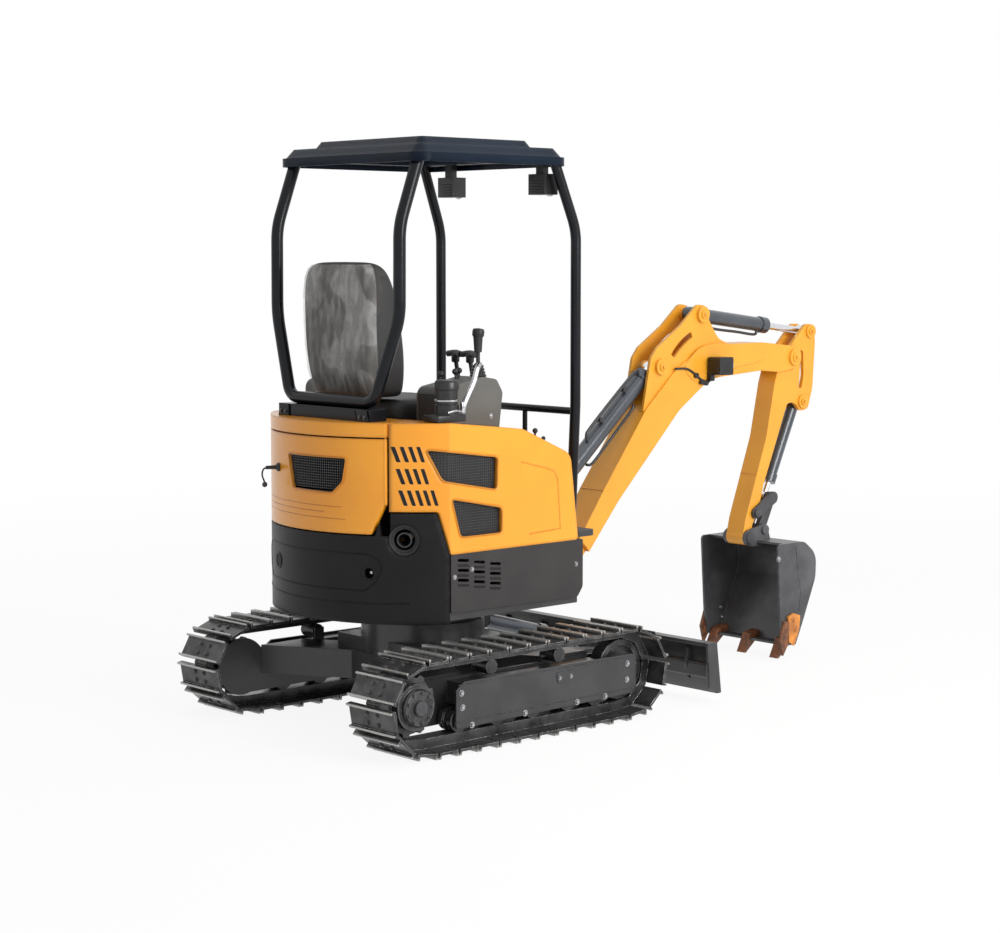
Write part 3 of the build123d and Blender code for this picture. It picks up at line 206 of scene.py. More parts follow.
surface("lamp_body", BLACK, (0.014, 0.014, 0.016), 0.32, 0.06, blotch=20.0, grain=0.1,
        edge=(0.1, 0.1, 0.105))
surface("seat_fabric", (0.06, 0.056, 0.052), (0.044, 0.041, 0.038), 0.75, 0.08, blotch=14.0, grain=0.5,
        grain_scale=700.0, edge_radius=0.02)
surface("trim_vinyl", (0.02, 0.019, 0.019), (0.013, 0.012, 0.012), 0.5, 0.08, blotch=12.0, grain=0.4,
        edge=(0.07, 0.07, 0.07), edge_wear_and_highlight=0.4, edge_radius=0.01)
surface("zinc", (0.52, 0.52, 0.53), (0.36, 0.36, 0.38), 0.26, 0.08, metallic=1.0, blotch=60.0,
        edge_radius=0.001)
surface("pipe_steel", (0.022, 0.023, 0.026), None, 0.28, 0.06, coat=0.3, blotch=20.0)
# Painted shade: near-black sheets standing in for the shaded inside of slots and holes.
surface("painted_hole_shade", (0.004, 0.004, 0.004), None, 0.8, 0.05, blotch=10.0)
surface("cutter_paint", (0.8, 0.3, 0.045), (0.42, 0.14, 0.03), 0.5, 0.1, blotch=18.0, bump=0.3,
        bump_scale=90.0, edge=(0.7, 0.45, 0.22), edge_wear_and_highlight=0.6)


def make_lens_look():
    """Clear ribbed lamp glass over a bright reflector."""
    tree = new_material("lamp_lens")
    place = add_node(tree, "TexCoord", {}, "Object")
    ribs = add_node(tree, "TexWave", {"Vector": place, "Scale": 60.0}, "Fac")
    set_inputs(tree, tree.nodes["Principled BSDF"], {
        "Base Color": (0.75, 0.77, 0.78, 1), "Metallic": 0.6, "Roughness": 0.12, "Coat Weight": 1.0,
        "Normal": relief(tree, ribs, 0.4)})


def make_film_look():
    """Thin clear wrapping: mostly see-through, with glossy folds."""
    tree = new_material("clear_film")
    creases = noise(tree, 17.0, 6.0, (1.0, 1.8, 0.7))
    fine = noise(tree, 34.0, 6.0, (1.0, 2.6, 0.5))
    wide = noise(tree, 5.5, 1.0, (1.0, 1.0, 0.8))
    alpha = ramp(tree, creases, 0.44, 0.62, (0.13, 0.13, 0.13), (0.3, 0.3, 0.3))
    patches = ramp(tree, wide, 0.52, 0.56, (0, 0, 0), (0.2, 0.2, 0.2))
    set_inputs(tree, tree.nodes["Principled BSDF"], {
        "Base Color": (0.72, 0.71, 0.69, 1), "Roughness": 0.16, "Specular IOR Level": 0.8,
        "Alpha": maths(tree, "ADD", alpha, patches), "Normal": relief(tree, fine, 0.7, 0.005)})


def paint_shoe_tip_highlights():
    """Brightens the outermost edges of the track shoes: a painted highlight along the grouser tips."""
    tree = MATERIALS["track_steel"].node_tree
    place = add_node(tree, "NewGeometry", {}, "Position")
    x = add_node(tree, "SeparateXYZ", {"Vector": place}, "X")
    from_slew = maths(tree, "ABSOLUTE", maths(tree, "SUBTRACT", x, SLEW))
    past_wheel = maths(tree, "MAXIMUM", maths(tree, "SUBTRACT", from_slew, TUMBLER_X), 0.0)
    height = maths(tree, "SUBTRACT", x.node.outputs["Z"], TUMBLER_Z)
    reach = add_node(tree, "CombineXYZ", {"X": past_wheel, "Z": height}, "Vector")
    mask = map_range(tree, maths(tree, "LENGTH", reach, kind="VectorMath"), 0.178, 0.187, to_high=0.9)
    colour = tree.nodes["Principled BSDF"].inputs["Base Color"]
    tree.links.new(mix_colours(tree, mask, colour.links[0].from_socket, (0.5, 0.49, 0.47)), colour)


def dress_nodes():
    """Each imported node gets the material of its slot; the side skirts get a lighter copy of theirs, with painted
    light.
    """
    looks = {part["node"]: part["material_slot"] for part in frame["record"]["subparts"]}
    # Painted light: the side skirts get a lighter copy of the weight's dark paint.
    looks["side_skirts"] = "skirt_paint_lit"
    for name, node in frame["nodes"].items():
        node.data.materials.clear()
        node.data.materials.append(MATERIALS[looks[name]])


# Making pieces


def add_object(name, data):
    made = bpy.data.objects.new(name, data)
    bpy.context.scene.collection.objects.link(made)
    return made


def mesh_from(bm, name):
    mesh = bpy.data.meshes.new(name)
    bmesh.ops.recalc_face_normals(bm, faces=bm.faces)
    bm.to_mesh(mesh)
    bm.free()
    return mesh


def finish_piece(bm, name, material, body="house"):
    """Puts a mesh in the scene, riding on a body of the frame."""
    mesh = mesh_from(bm, name)
    mesh.materials.append(MATERIALS[material])
    mesh.shade_smooth()
    mesh.set_sharp_from_angle(angle=math.radians(38))
    piece = add_object(name, mesh)
    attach(piece, body)
    return piece


def add_loft(bm, rows):
    """Joins closed rows of points into one body, shut at both ends."""
    rings = [[bm.verts.new(point) for point in row] for row in rows]
    for low, high in zip(rings, rings[1:]):
        for k in range(len(low)):
            j = (k + 1) % len(low)
            bm.faces.new((low[k], low[j], high[j], high[k]))
    bm.faces.new(list(reversed(rings[0])))
    bm.faces.new(rings[-1])


def add_grid(bm, rows):
    """An open skin over rows of points."""
    grid = [[bm.verts.new(point) for point in row] for row in rows]
    for first, second in zip(grid, grid[1:]):
        for k in range(len(first) - 1):
            bm.faces.new((first[k], second[k], second[k + 1], first[k + 1]))


def circle(count, start=0.0):
    """Cosine and sine of evenly spaced turns."""
    turns = [2 * math.pi * (i + start) / count for i in range(count)]
    return [(math.cos(turn), math.sin(turn)) for turn in turns]


def add_lathe(bm, profile, base, direction, segments=20):
    """Turns a profile of (radius, height) round a line from base."""
    turn = Vector(direction).normalized().to_track_quat("Z", "Y").to_matrix().to_4x4()
    place = Matrix.Translation(Vector(base)) @ turn
    rings = []
    for radius, height in profile:
        points = [(0, 0)] if radius < 1e-6 else [(radius * c, radius * s) for c, s in circle(segments)]
        rings.append([bm.verts.new(place @ Vector((*point, height))) for point in points])
    for low, high in zip(rings, rings[1:]):
        for i in range(segments):
            j = (i + 1) % segments
            if len(low) == 1:
                bm.faces.new((low[0], high[i], high[j]))
            elif len(high) == 1:
                bm.faces.new((low[i], low[j], high[0]))
            else:
                bm.faces.new((low[i], low[j], high[j], high[i]))


def add_bolt(bm, base, direction, radius=0.008, height=0.006):
    """A hexagon head on a washer."""
    washer = radius * 1.5
    seat = height * 0.3
    top = height * 1.3
    add_lathe(bm, [(0, 0), (washer, 0), (washer, seat), (radius, seat)], base, direction, 12)
    add_lathe(bm, [(radius, seat), (radius, top - height * 0.15), (radius * 0.86, top), (0, top)],
              base, direction, 6)


def add_block(bm, low, high, bevel=0.002):
    """A block between two corners with small bevels."""
    made = bmesh.ops.create_cube(bm, size=1.0)
    size = Vector(high) - Vector(low)
    middle = (Vector(high) + Vector(low)) / 2
    for vert in made["verts"]:
        vert.co = middle + vert.co * size
    edges = list(dict.fromkeys(edge for vert in made["verts"] for edge in vert.link_edges))
    bmesh.ops.bevel(bm, geom=edges, offset=bevel, segments=2, affect="EDGES", profile=0.5)


def smooth_path(points, steps=10):
    """Points on one smooth curve through the given ones."""
    pts = [Vector(p) for p in points]
    padded = [2 * pts[0] - pts[1]] + pts + [2 * pts[-1] - pts[-2]]
    out = []
    for a, b, c, d in zip(padded, padded[1:], padded[2:], padded[3:]):
        for i in range(steps):
            t = i / steps
            out.append(0.5 * ((2 * b) + (c - a) * t + (2 * a - 5 * b + 4 * c - d) * t * t
                              + (3 * b - a - 3 * c + d) * t ** 3))
    return out + [pts[-1]]


def add_tube(bm, points, radius, segments=12, steps=10):
    """A round tube along a smooth path, closed at both ends."""
    path = smooth_path(points, steps)
    rows = []
    side = None
    for i, point in enumerate(path):
        ahead = (path[min(i + 1, len(path) - 1)] - path[max(i - 1, 0)]).normalized()
        if side is None:
            side = ahead.orthogonal().normalized()
        side = (side - ahead * side.dot(ahead)).normalized()
        other = ahead.cross(side)
        rows.append([point + (side * c + other * s) * radius for c, s in circle(segments)])
    add_loft(bm, rows)


# Flat pieces, lines and bolts laid on the model's faces

def stepped(points, closed, step):
    """The points of a line with more between them, so that it follows a curved face."""
    ends = points[1:] + points[:1] if closed else points[1:]
    out = []
    for (u0, v0), (u1, v1) in zip(points, ends):
        count = max(1, math.ceil(math.hypot(u1 - u0, v1 - v0) / step))
        out += [(u0 + (u1 - u0) * i / count, v0 + (v1 - v0) * i / count) for i in range(count)]
    return out


def add_plate(bm, outline, place, low, high):
    """A flat piece over an outline; place(u, v, w) is the point w above the face."""
    rim = stepped(outline, True, 0.012)
    add_loft(bm, [[place(u, v, w) for u, v in rim] for w in (low, high)])


def add_line(bm, points, place, lift, radius, closed=False, segments=8):
    """A thin bead along a line on a face."""
    line = stepped(points, closed, 0.02) + [points[0] if closed else points[-1]]
    add_tube(bm, [place(u, v, lift) for u, v in line], radius, segments, 1)


def round_corners(points, radius, steps=5):
    """The outline with each corner turned into a short curve."""
    out = []
    count = len(points)
    for i, corner in enumerate(points):
        here = Vector(corner)
        before = Vector(points[i - 1]) - here
        after = Vector(points[(i + 1) % count]) - here
        reach = min(radius, before.length * 0.45, after.length * 0.45)
        start = here + before.normalized() * reach
        end = here + after.normalized() * reach
        for k in range(steps + 1):
            t = k / steps
            out.append(tuple(start * (1 - t) ** 2 + here * 2 * t * (1 - t) + end * t * t))
    return out


def house_skin(x, inset):
    """How far the right-hand wall stands out at x, less an inset."""
    if x > TAIL_START:
        return HOUSE_HALF - inset
    return math.sqrt(max((TAIL_RADIUS - inset) ** 2 - x * x, 0.0))


def on_wall(u, v, w):
    """A place on the right-hand wall, u along X and v up."""
    return at(u, -house_skin(u, -w), v)


def on_tail(u, v, w):
    """A place on the round tail, u along Y and v up."""
    radius = TAIL_RADIUS + w
    return at(-math.sqrt(radius * radius - u * u), u, v)


def on_side(y, side=-1):
    """Places on a flat side wall at y."""
    return lambda u, v, w: at(u, y + side * w, v)


def on_rear(x):
    """Places on a flat face at x that looks to the rear."""
    return lambda u, v, w: at(x - w, u, v)


def tail_point(degrees, z):
    """A point on the round tail and the way out of it."""
    turn = math.radians(degrees)
    outward = Vector((-math.cos(turn), -math.sin(turn), 0))
    return at(0, 0, z) + outward * TAIL_RADIUS, outward


def spots(places, y, direction=(0, -1, 0)):
    """Places for bolts on a face at y, from pairs of x and z."""
    return [(at(x, y, z), direction) for x, z in places]


def add_bolts(name, places, body, radius=0.008, height=0.006, material="zinc"):
    """Bolt heads joined in one mesh; each place is (point, direction)."""
    bm = bmesh.new()
    for point, direction in places:
        add_bolt(bm, point, direction, radius, height)
    finish_piece(bm, name, material, body)


# Covers, door and mesh panels

WIRE = 0.0011
UPPER_GRILLE = [(-0.383, 1.127), (-0.063, 1.084), (-0.068, 0.956), (-0.332, 1.005)]
LOWER_GRILLE = [(-0.3, 0.939), (-0.042, 0.888), (-0.042, 0.788), (-0.255, 0.788)]
DOOR_WINDOW = [(0.095, 1.09), (-0.22, 1.09), (-0.205, 0.998), (-0.16, 0.954), (0.06, 0.958)]


def inside(outline, u, v):
    """Whether a point lies in a flat outline."""
    hit = False
    for (u0, v0), (u1, v1) in zip(outline, outline[1:] + outline[:1]):
        if (v0 > v) != (v1 > v) and u < (u1 - u0) * (v - v0) / (v1 - v0) + u0:
            hit = not hit
    return hit


def add_screen(bm, outline, place, pitch, step=0.012):
    """Crossed wires over an outline; place(u, v) gives where a point lies."""
    (left, right), (low, high) = [(min(values), max(values)) for values in zip(*outline)]
    lines = []
    for i in range(int((high - low) / pitch)):
        v = low + (i + 0.5) * pitch
        lines.append([(left + k * step, v) for k in range(int((right - left) / step) + 1)])
    for i in range(int((right - left) / pitch)):
        u = left + (i + 0.5) * pitch
        lines.append([(u, low + k * step) for k in range(int((high - low) / step) + 1)])
    for line in lines:
        run = [place(u, v) for u, v in line if inside(outline, u, v)]
        if len(run) > 1:
            add_tube(bm, run, WIRE, 4, 1)


def make_screens():
    """Woven wire in front of the dark panels in the cover's openings and the door's window."""
    wires, rims = bmesh.new(), bmesh.new()
    inset = COVER_WALL - 0.0015
    for outline in (UPPER_GRILLE, LOWER_GRILLE):
        add_screen(wires, outline, lambda u, v: at(u, -house_skin(u, inset), v), 0.0105)
        add_line(rims, round_corners(outline, 0.02), on_wall, 0.0004, 0.0034, True)
    finish_piece(wires, "cover_wire_mesh", "wire")
    finish_piece(rims, "cover_opening_rims", "body_paint")

    columns = 26
    low, high = -0.224, 0.1
    panel = bmesh.new()
    add_grid(panel, [[on_tail(low + (high - low) * i / columns, v, -0.011) for v in (0.948, 1.096)]
                     for i in range(columns + 1)])
    bmesh.ops.solidify(panel, geom=panel.faces[:], thickness=0.0006)
    finish_piece(panel, "door_screen_panel", "mesh", "rear_door")
    wires = bmesh.new()
    add_screen(wires, DOOR_WINDOW, lambda u, v: on_tail(u, v, -0.009), 0.01)
    finish_piece(wires, "door_wire_mesh", "wire", "rear_door")
    creases = bmesh.new()
    add_line(creases, round_corners(DOOR_WINDOW, 0.014), on_tail, 0.0002, 0.0032, True)
    for low, left, right in ((0.906, 0.3, -0.2), (0.884, 0.33, -0.12), (0.86, 0.33, -0.215)):
        add_line(creases, [(left, low), (right, low - 0.004)], on_tail, -0.0008, 0.0022)
    finish_piece(creases, "door_creases", "body_paint", "rear_door")


SLOT_ROWS = ((1.108, -0.462, 4), (1.025, -0.45, 4), (0.944, -0.444, 5))
SLOT_PITCH = 0.022


def make_cover_details():
    """Slanted air slots, each a dark sheet of painted shade with a lip, and the pressed panel's edge on the
    right-hand cover.
    """
    slot_shades, lips, edge = bmesh.new(), bmesh.new(), bmesh.new()
    half, rise = 0.0058, 0.029
    shift = math.tan(math.radians(14)) * rise
    for z, first, count in SLOT_ROWS:
        for i in range(count):
            x = first + SLOT_PITCH * i
            outline = [(x - half - shift, z + rise), (x + half - shift, z + rise),
                       (x + half + shift, z - rise), (x - half + shift, z - rise)]
            # Each slot is a dark sheet of painted shade laid on the wall.
            add_plate(slot_shades, round_corners(outline, 0.003, 3), on_wall, -0.0006, 0.0003)
            add_line(lips, [outline[1], outline[2]], on_wall, 0.0002, 0.0013, segments=6)
    add_line(edge, [(0.06, 1.056), (0.186, 1.026), (0.236, 1.01), (0.254, 0.978), (0.262, 0.88),
                    (0.27, 0.78), (0.104, 0.772)], on_wall, -0.003, 0.005)
    finish_piece(slot_shades, "cover_slot_shades", "painted_hole_shade")
    finish_piece(lips, "cover_slot_lips", "body_paint")
    finish_piece(edge, "cover_press_line", "body_paint")


def make_door_lock():
    """The door's lock with its key and a short strap."""
    centre = on_tail(0.187, 1.027, 0)
    outward = Vector((centre.x - SLEW, centre.y, 0)).normalized()
    side = Vector((-outward.y, outward.x, 0))
    bm = bmesh.new()
    add_lathe(bm, [(0, 0), (0.017, 0), (0.017, 0.006), (0.012, 0.011), (0.008, 0.012), (0.008, 0.026),
                   (0, 0.026)], centre, outward, 20)
    key = centre + outward * 0.024
    blade = [(-0.002, 0), (0.002, 0), (0.002, 0.03), (-0.002, 0.03)]
    add_loft(bm, [[key + side * u + outward * w + UP * z for u, w in blade] for z in (-0.007, 0.007)])
    tip = key + outward * 0.029
    strap = [(0.012, -0.008), (0.016, -0.03), (0.006, -0.058)]
    add_tube(bm, [tip] + [tip + outward * w + UP * z for w, z in strap], 0.0035, 8, 6)
    fob = tip + outward * 0.006 - UP * 0.066
    add_lathe(bm, [(0, -0.006), (0.009, -0.005), (0.011, 0), (0.009, 0.005), (0, 0.006)], fob, side, 16)
    finish_piece(bm, "door_lock", "grip_plastic", "rear_door")


def make_weight_details():
    """The tail weight's pressed band, tow pins, the left tow hole as a dark disc of painted shade, and the
    exhaust.
    """
    bm = bmesh.new()
    band = [(-0.31, 0.728), (0.31, 0.728), (0.35, 0.688), (0.33, 0.628), (0.29, 0.588), (-0.29, 0.588),
            (-0.33, 0.628), (-0.35, 0.688)]
    add_line(bm, round_corners(band, 0.02), on_tail, -0.001, 0.0034, True)
    add_line(bm, [(-0.428, 0.545), (-0.3, 0.54), (0.0, 0.538), (0.3, 0.54), (0.46, 0.545)], on_tail,
             -0.002, 0.004)
    finish_piece(bm, "weight_band_edges", "weight_paint")

    rims, dark, pins = bmesh.new(), bmesh.new(), bmesh.new()
    for turn, z, radius, cut in ((30, 0.655, 0.02, True), (-19, 0.66, 0.024, False)):
        centre, outward = tail_point(turn, z)
        rim = radius + 0.0005
        add_lathe(rims, [(rim, -0.004), (rim, 0.0015), (rim + 0.003, 0.003), (rim + 0.008, 0.0015),
                         (rim + 0.009, -0.003)], centre, outward, 28)
        if cut:
            add_lathe(pins, [(0, -0.058), (0.01, -0.058), (0.01, -0.03), (0.006, -0.024), (0, -0.023)],
                      centre, outward, 16)
        else:
            # The left tow hole is a dark disc of painted shade on the face.
            add_lathe(dark, [(0, -0.002), (rim + 0.001, -0.002), (rim + 0.001, 0.0006), (0, 0.001)],
                      centre, outward, 28)
    finish_piece(rims, "tow_hole_rims", "weight_paint")
    finish_piece(dark, "tow_hole_left_shade", "painted_hole_shade")
    finish_piece(pins, "tow_pins", "zinc")

    centre, outward = tail_point(43, 0.783)
    pipe, collar = bmesh.new(), bmesh.new()
    add_lathe(pipe, [(0.019, -0.12), (0.03, -0.12), (0.03, -0.016), (0.0285, -0.013), (0.0245, -0.013),
                     (0.0225, -0.016), (0.0215, -0.03), (0.0215, -0.11), (0.019, -0.12)],
              centre, outward, 32)
    add_lathe(collar, [(0.0598, -0.01), (0.0598, -0.026), (0.04, -0.026), (0.04, -0.022),
                       (0.049, -0.021), (0.05, -0.012), (0.059, -0.01)], centre, outward, 40)
    finish_piece(pipe, "exhaust_pipe", "pipe_steel")
    finish_piece(collar, "exhaust_collar", "trim_vinyl")


def make_skirt_details():
    """More air slots, as dark sheets of painted shade, and the bolts of the dark panels under the covers."""
    slot_shades = bmesh.new()
    for column in range(3):
        for row in range(3):
            x, z = -0.24 + 0.082 * column, 0.681 - 0.038 * row - 0.014 * column
            if z < 0.56:
                continue
            outline = [(x - 0.029, z + 0.008), (x + 0.029, z + 0.002), (x + 0.029, z - 0.008),
                       (x - 0.029, z - 0.002)]
            # Each slot is a dark sheet of painted shade laid on the skirt.
            add_plate(slot_shades, round_corners(outline, 0.005, 4), on_side(-HOUSE_HALF), -0.0005, 0.0003)
    finish_piece(slot_shades, "skirt_slot_shades", "painted_hole_shade")
    add_bolts("skirt_bolts", spots(((-0.285, 0.64), (-0.197, 0.662), (0.357, 0.629)), -HOUSE_HALF),
              "house", 0.0065, 0.005)


# Seat

SEAT_MIDDLE = 0.05
SEAT_CUTS = [(1.297, -0.225, -0.335, 0.19), (1.315, -0.214, -0.362, 0.206), (1.4, -0.212, -0.386, 0.217),
             (1.5, -0.222, -0.394, 0.223), (1.6, -0.24, -0.398, 0.2245), (1.7, -0.262, -0.399, 0.2245),
             (1.765, -0.284, -0.397, 0.217), (1.8, -0.3, -0.392, 0.2), (1.818, -0.318, -0.384, 0.172),
             (1.825, -0.338, -0.368, 0.13)]
SEAT_SHARES = (-1.0, -0.93, -0.8, -0.55, -0.2, 0.2, 0.55, 0.8, 0.93, 1.0)
CUSHION_CUTS = ((0.0, 0.93), (0.12, 0.99), (0.45, 1.0), (0.8, 0.985), (0.95, 0.93), (1.0, 0.8))


def make_pad(name, rows, material, node):
    """A crowned pad lofted through closed rows of points."""
    bm = bmesh.new()
    add_loft(bm, rows)
    pad = finish_piece(bm, name, material)
    modifier = pad.modifiers.new("subdivision", "SUBSURF")
    modifier.levels = 2
    modifier.render_levels = 2
    depsgraph = bpy.context.evaluated_depsgraph_get()
    mesh = bpy.data.meshes.new_from_object(pad.evaluated_get(depsgraph))
    pad.modifiers.clear()
    pad.data = mesh
    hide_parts(node)
    return pad


def seat_section(z, front, back, half):
    """One level cut through the seat back: a hollow front between two side bolsters."""
    points = []
    for share in SEAT_SHARES:
        hollow = 0.03 * max(0.0, 1 - (share / 0.75) ** 2) * min(1.0, max(0.0, (1.8 - z) * 6))
        forward = front - hollow - (0.03 if abs(share) > 0.97 else 0.0)
        points.append(at(forward, SEAT_MIDDLE + share * half, z))
    for share in reversed(SEAT_SHARES):
        rearward = back + (0.034 if abs(share) > 0.97 else 0.007 if abs(share) > 0.9 else 0.0)
        points.append(at(rearward, SEAT_MIDDLE + share * half, z))
    return points


def seat_rear(u, z, lift):
    """A point off the seat's rear face, u from -1 on the right to 1 on the left."""
    for low, high in zip(SEAT_CUTS, SEAT_CUTS[1:]):
        if z <= high[0]:
            share = max(0.0, (z - low[0]) / (high[0] - low[0]))
            back = low[2] + (high[2] - low[2]) * share
            half = low[3] + (high[3] - low[3]) * share
            break
    curve = 0.03 * max(0.0, (abs(u) - 0.86) / 0.14) ** 2
    return at(back + curve, SEAT_MIDDLE + u * half, z) + Vector((lift, 0, 0))


def film_fold(u, z):
    """How far the loose cover stands off at a place."""
    fold = 0.0016 * math.sin(u * 31 + 2.2 * math.sin(z * 13)) * max(0.0, (1.62 - z) / 0.32)
    fold += 0.0012 * math.sin(u * 9 + z * 21)
    return -0.0042 + fold


def make_seat():
    """A high-backed seat: cushion, back, side bolster and a loose clear cover."""
    rows = [seat_section(*cut) for cut in SEAT_CUTS]
    back = make_pad("seat_back_pad", rows, "seat_fabric", "seat_back")
    back.data.materials.append(MATERIALS["trim_vinyl"])
    for face in back.data.polygons:
        x, y, z = face.center
        side = abs(y - SEAT_MIDDLE) > 0.155 and x - SLEW > -0.368 + 0.1 * max(0.0, z - 1.55)
        if side and z < 1.775:
            face.material_index = 1
    low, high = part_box("seat_cushion")
    middle = (low + high) / 2
    rows = []
    for share, grow in CUSHION_CUTS:
        half_x, half_y = (high.x - low.x) / 2 * grow, (high.y - low.y) / 2 * grow
        rows.append([Vector((middle.x + math.copysign(abs(c) ** 0.35, c) * half_x,
                             middle.y + math.copysign(abs(s) ** 0.35, s) * half_y,
                             low.z + (high.z - low.z) * share)) for c, s in circle(28, 0.5)])
    make_pad("seat_cushion_pad", rows, "trim_vinyl", "seat_cushion")

    bm = bmesh.new()
    columns, rows = 60, 70
    us = [-0.995 + 1.99 * i / columns for i in range(columns + 1)]
    zs = [1.3 + 0.515 * k / rows for k in range(rows + 1)]
    add_grid(bm, [[seat_rear(u, z, film_fold(u, z)) for z in zs] for u in us])
    film = finish_piece(bm, "seat_film", "clear_film")


# Cab details

LAMP_YS = (-0.318, 0.233)
CONSOLE_REAR = -0.25
MOUNT_REAR = -0.5


def add_knob(bm, base, direction, stem, radius):
    """A lever's stem with a ball on its end."""
    direction = Vector(direction).normalized()
    end = base + direction * stem
    add_tube(bm, [base, end], radius * 0.42, 8, 1)
    turns = [math.pi * k / 8 for k in range(1, 8)]
    ball = [(radius * math.sin(turn), -radius * math.cos(turn)) for turn in turns]
    add_lathe(bm, [(0, -radius), *ball, (0, radius)], end, direction, 16)


def make_levers():
    """Boots and grips of the joysticks, travel levers and small levers."""
    bm = bmesh.new()
    boot = [(0.036, 0.0)]
    for k in range(5):
        radius, z = 0.035 - 0.0035 * k, 0.012 * k
        boot += [(radius, 0.003 + z), (radius + 0.002, 0.008 + z), (radius - 0.004, 0.0125 + z)]
    for y in (-0.33, 0.385):
        add_lathe(bm, [*boot, (0.01, 0.068)], at(0.006, y, 1.366), UP, 28)
        add_lathe(bm, [(0.0205, 0.0), (0.0235, 0.006), (0.024, 0.022), (0.02, 0.031), (0, 0.034)],
                  at(0.006, y, 1.535), (0.1, 0, 1), 24)
    finish_piece(bm, "joystick_boots", "grip_plastic")

    bm = bmesh.new()
    boot = [(0.026, 0.0)]
    for k in range(4):
        boot += [(0.025 - 0.004 * k, 0.006 + 0.014 * k), (0.021 - 0.004 * k, 0.013 + 0.014 * k)]
    for y in (0.005, 0.095):
        add_tube(bm, [at(0.255, y - 0.04, 1.447), at(0.262, y, 1.452), at(0.255, y + 0.04, 1.447)],
                 0.013, 12, 6)
        add_lathe(bm, [(0.013, 0.0), (0.017, 0.006), (0.017, 0.03), (0.012, 0.036), (0, 0.036)],
                  at(0.262, y, 1.412), UP, 16)
        add_lathe(bm, [*boot, (0.01, 0.062)], at(0.33, y, 0.836), UP, 20)
    finish_piece(bm, "travel_grips", "grip_plastic")

    bm = bmesh.new()
    for x, y, lean, stem in ((-0.175, -0.315, (0.1, 0, 1), 0.03), (-0.12, -0.345, (-0.1, 0.1, 1), 0.034),
                             (-0.07, -0.3, (0.15, 0, 1), 0.03)):
        add_knob(bm, at(x, y, 1.366 + 0.09 * (x + 0.175)), lean, stem, 0.012)
    add_knob(bm, at(0.29, -0.35, 1.084), (0.05, 0, 1), 0.07, 0.011)
    add_knob(bm, at(0.322, -0.35, 1.072), (0.35, 0, 1), 0.052, 0.009)
    add_tube(bm, [at(0.04, 0.372, 1.372), at(0.095, 0.376, 1.425), at(0.15, 0.38, 1.486)], 0.007, 10, 6)
    add_tube(bm, [at(0.14, 0.38, 1.476), at(0.172, 0.383, 1.516), at(0.203, 0.385, 1.558)], 0.014, 12, 6)
    finish_piece(bm, "small_levers", "grip_plastic")


def make_console_details():
    """The hand rail's stay, the canister beside the right-hand console and the console's panel."""
    bm = bmesh.new()
    add_tube(bm, [at(0.458, -0.115, 0.7575), at(0.458, -0.115, 1.2165)], 0.0105, 14, 1)
    finish_piece(bm, "rail_stay", "tube_paint")

    bm = bmesh.new()
    x, y = -0.262, -0.452
    add_lathe(bm, [(0, 0.0), (0.047, 0.0), (0.047, 0.062), (0.042, 0.066), (0.042, 0.118), (0.046, 0.122),
                   (0.046, 0.148), (0.04, 0.156), (0, 0.157)], at(x, y, 1.226), UP, 36)
    add_block(bm, at(-0.345, -0.5, 1.2255), at(-0.205, -0.412, 1.252), 0.004)
    finish_piece(bm, "canister", "lamp_body")
    bm = bmesh.new()
    add_lathe(bm, [(0.0425, 0.0), (0.0475, 0.002), (0.0475, 0.008), (0.0425, 0.01)], at(x, y, 1.3),
              UP, 36)
    add_block(bm, at(-0.232, -0.506, 1.256), at(-0.214, -0.494, 1.3), 0.002)
    add_tube(bm, [at(-0.225, -0.498, 1.262), at(-0.212, -0.5, 1.3), at(-0.17, -0.5, 1.37),
                  at(-0.15, -0.498, 1.42), at(-0.128, -0.49, 1.44)], 0.0105, 8, 6)
    add_tube(bm, [at(-0.3, -0.5, 1.262), at(-0.262, -0.503, 1.268), at(-0.225, -0.498, 1.262)],
             0.005, 8, 6)
    finish_piece(bm, "canister_bracket", "zinc")
    places = [(at(CONSOLE_REAR, -0.345, 1.238), (-1, 0, 0)), (at(0.01, -0.4, 1.23), (0, -1, 0))]
    add_bolts("console_bolts", places, "house", 0.007, 0.004)
    bm = bmesh.new()
    panel = [(-0.388, 1.198), (-0.275, 1.198), (-0.275, 1.322), (-0.388, 1.322)]
    add_plate(bm, round_corners(panel, 0.01), on_rear(CONSOLE_REAR), -0.0004, 0.003)
    finish_piece(bm, "console_panels", "trim_vinyl")


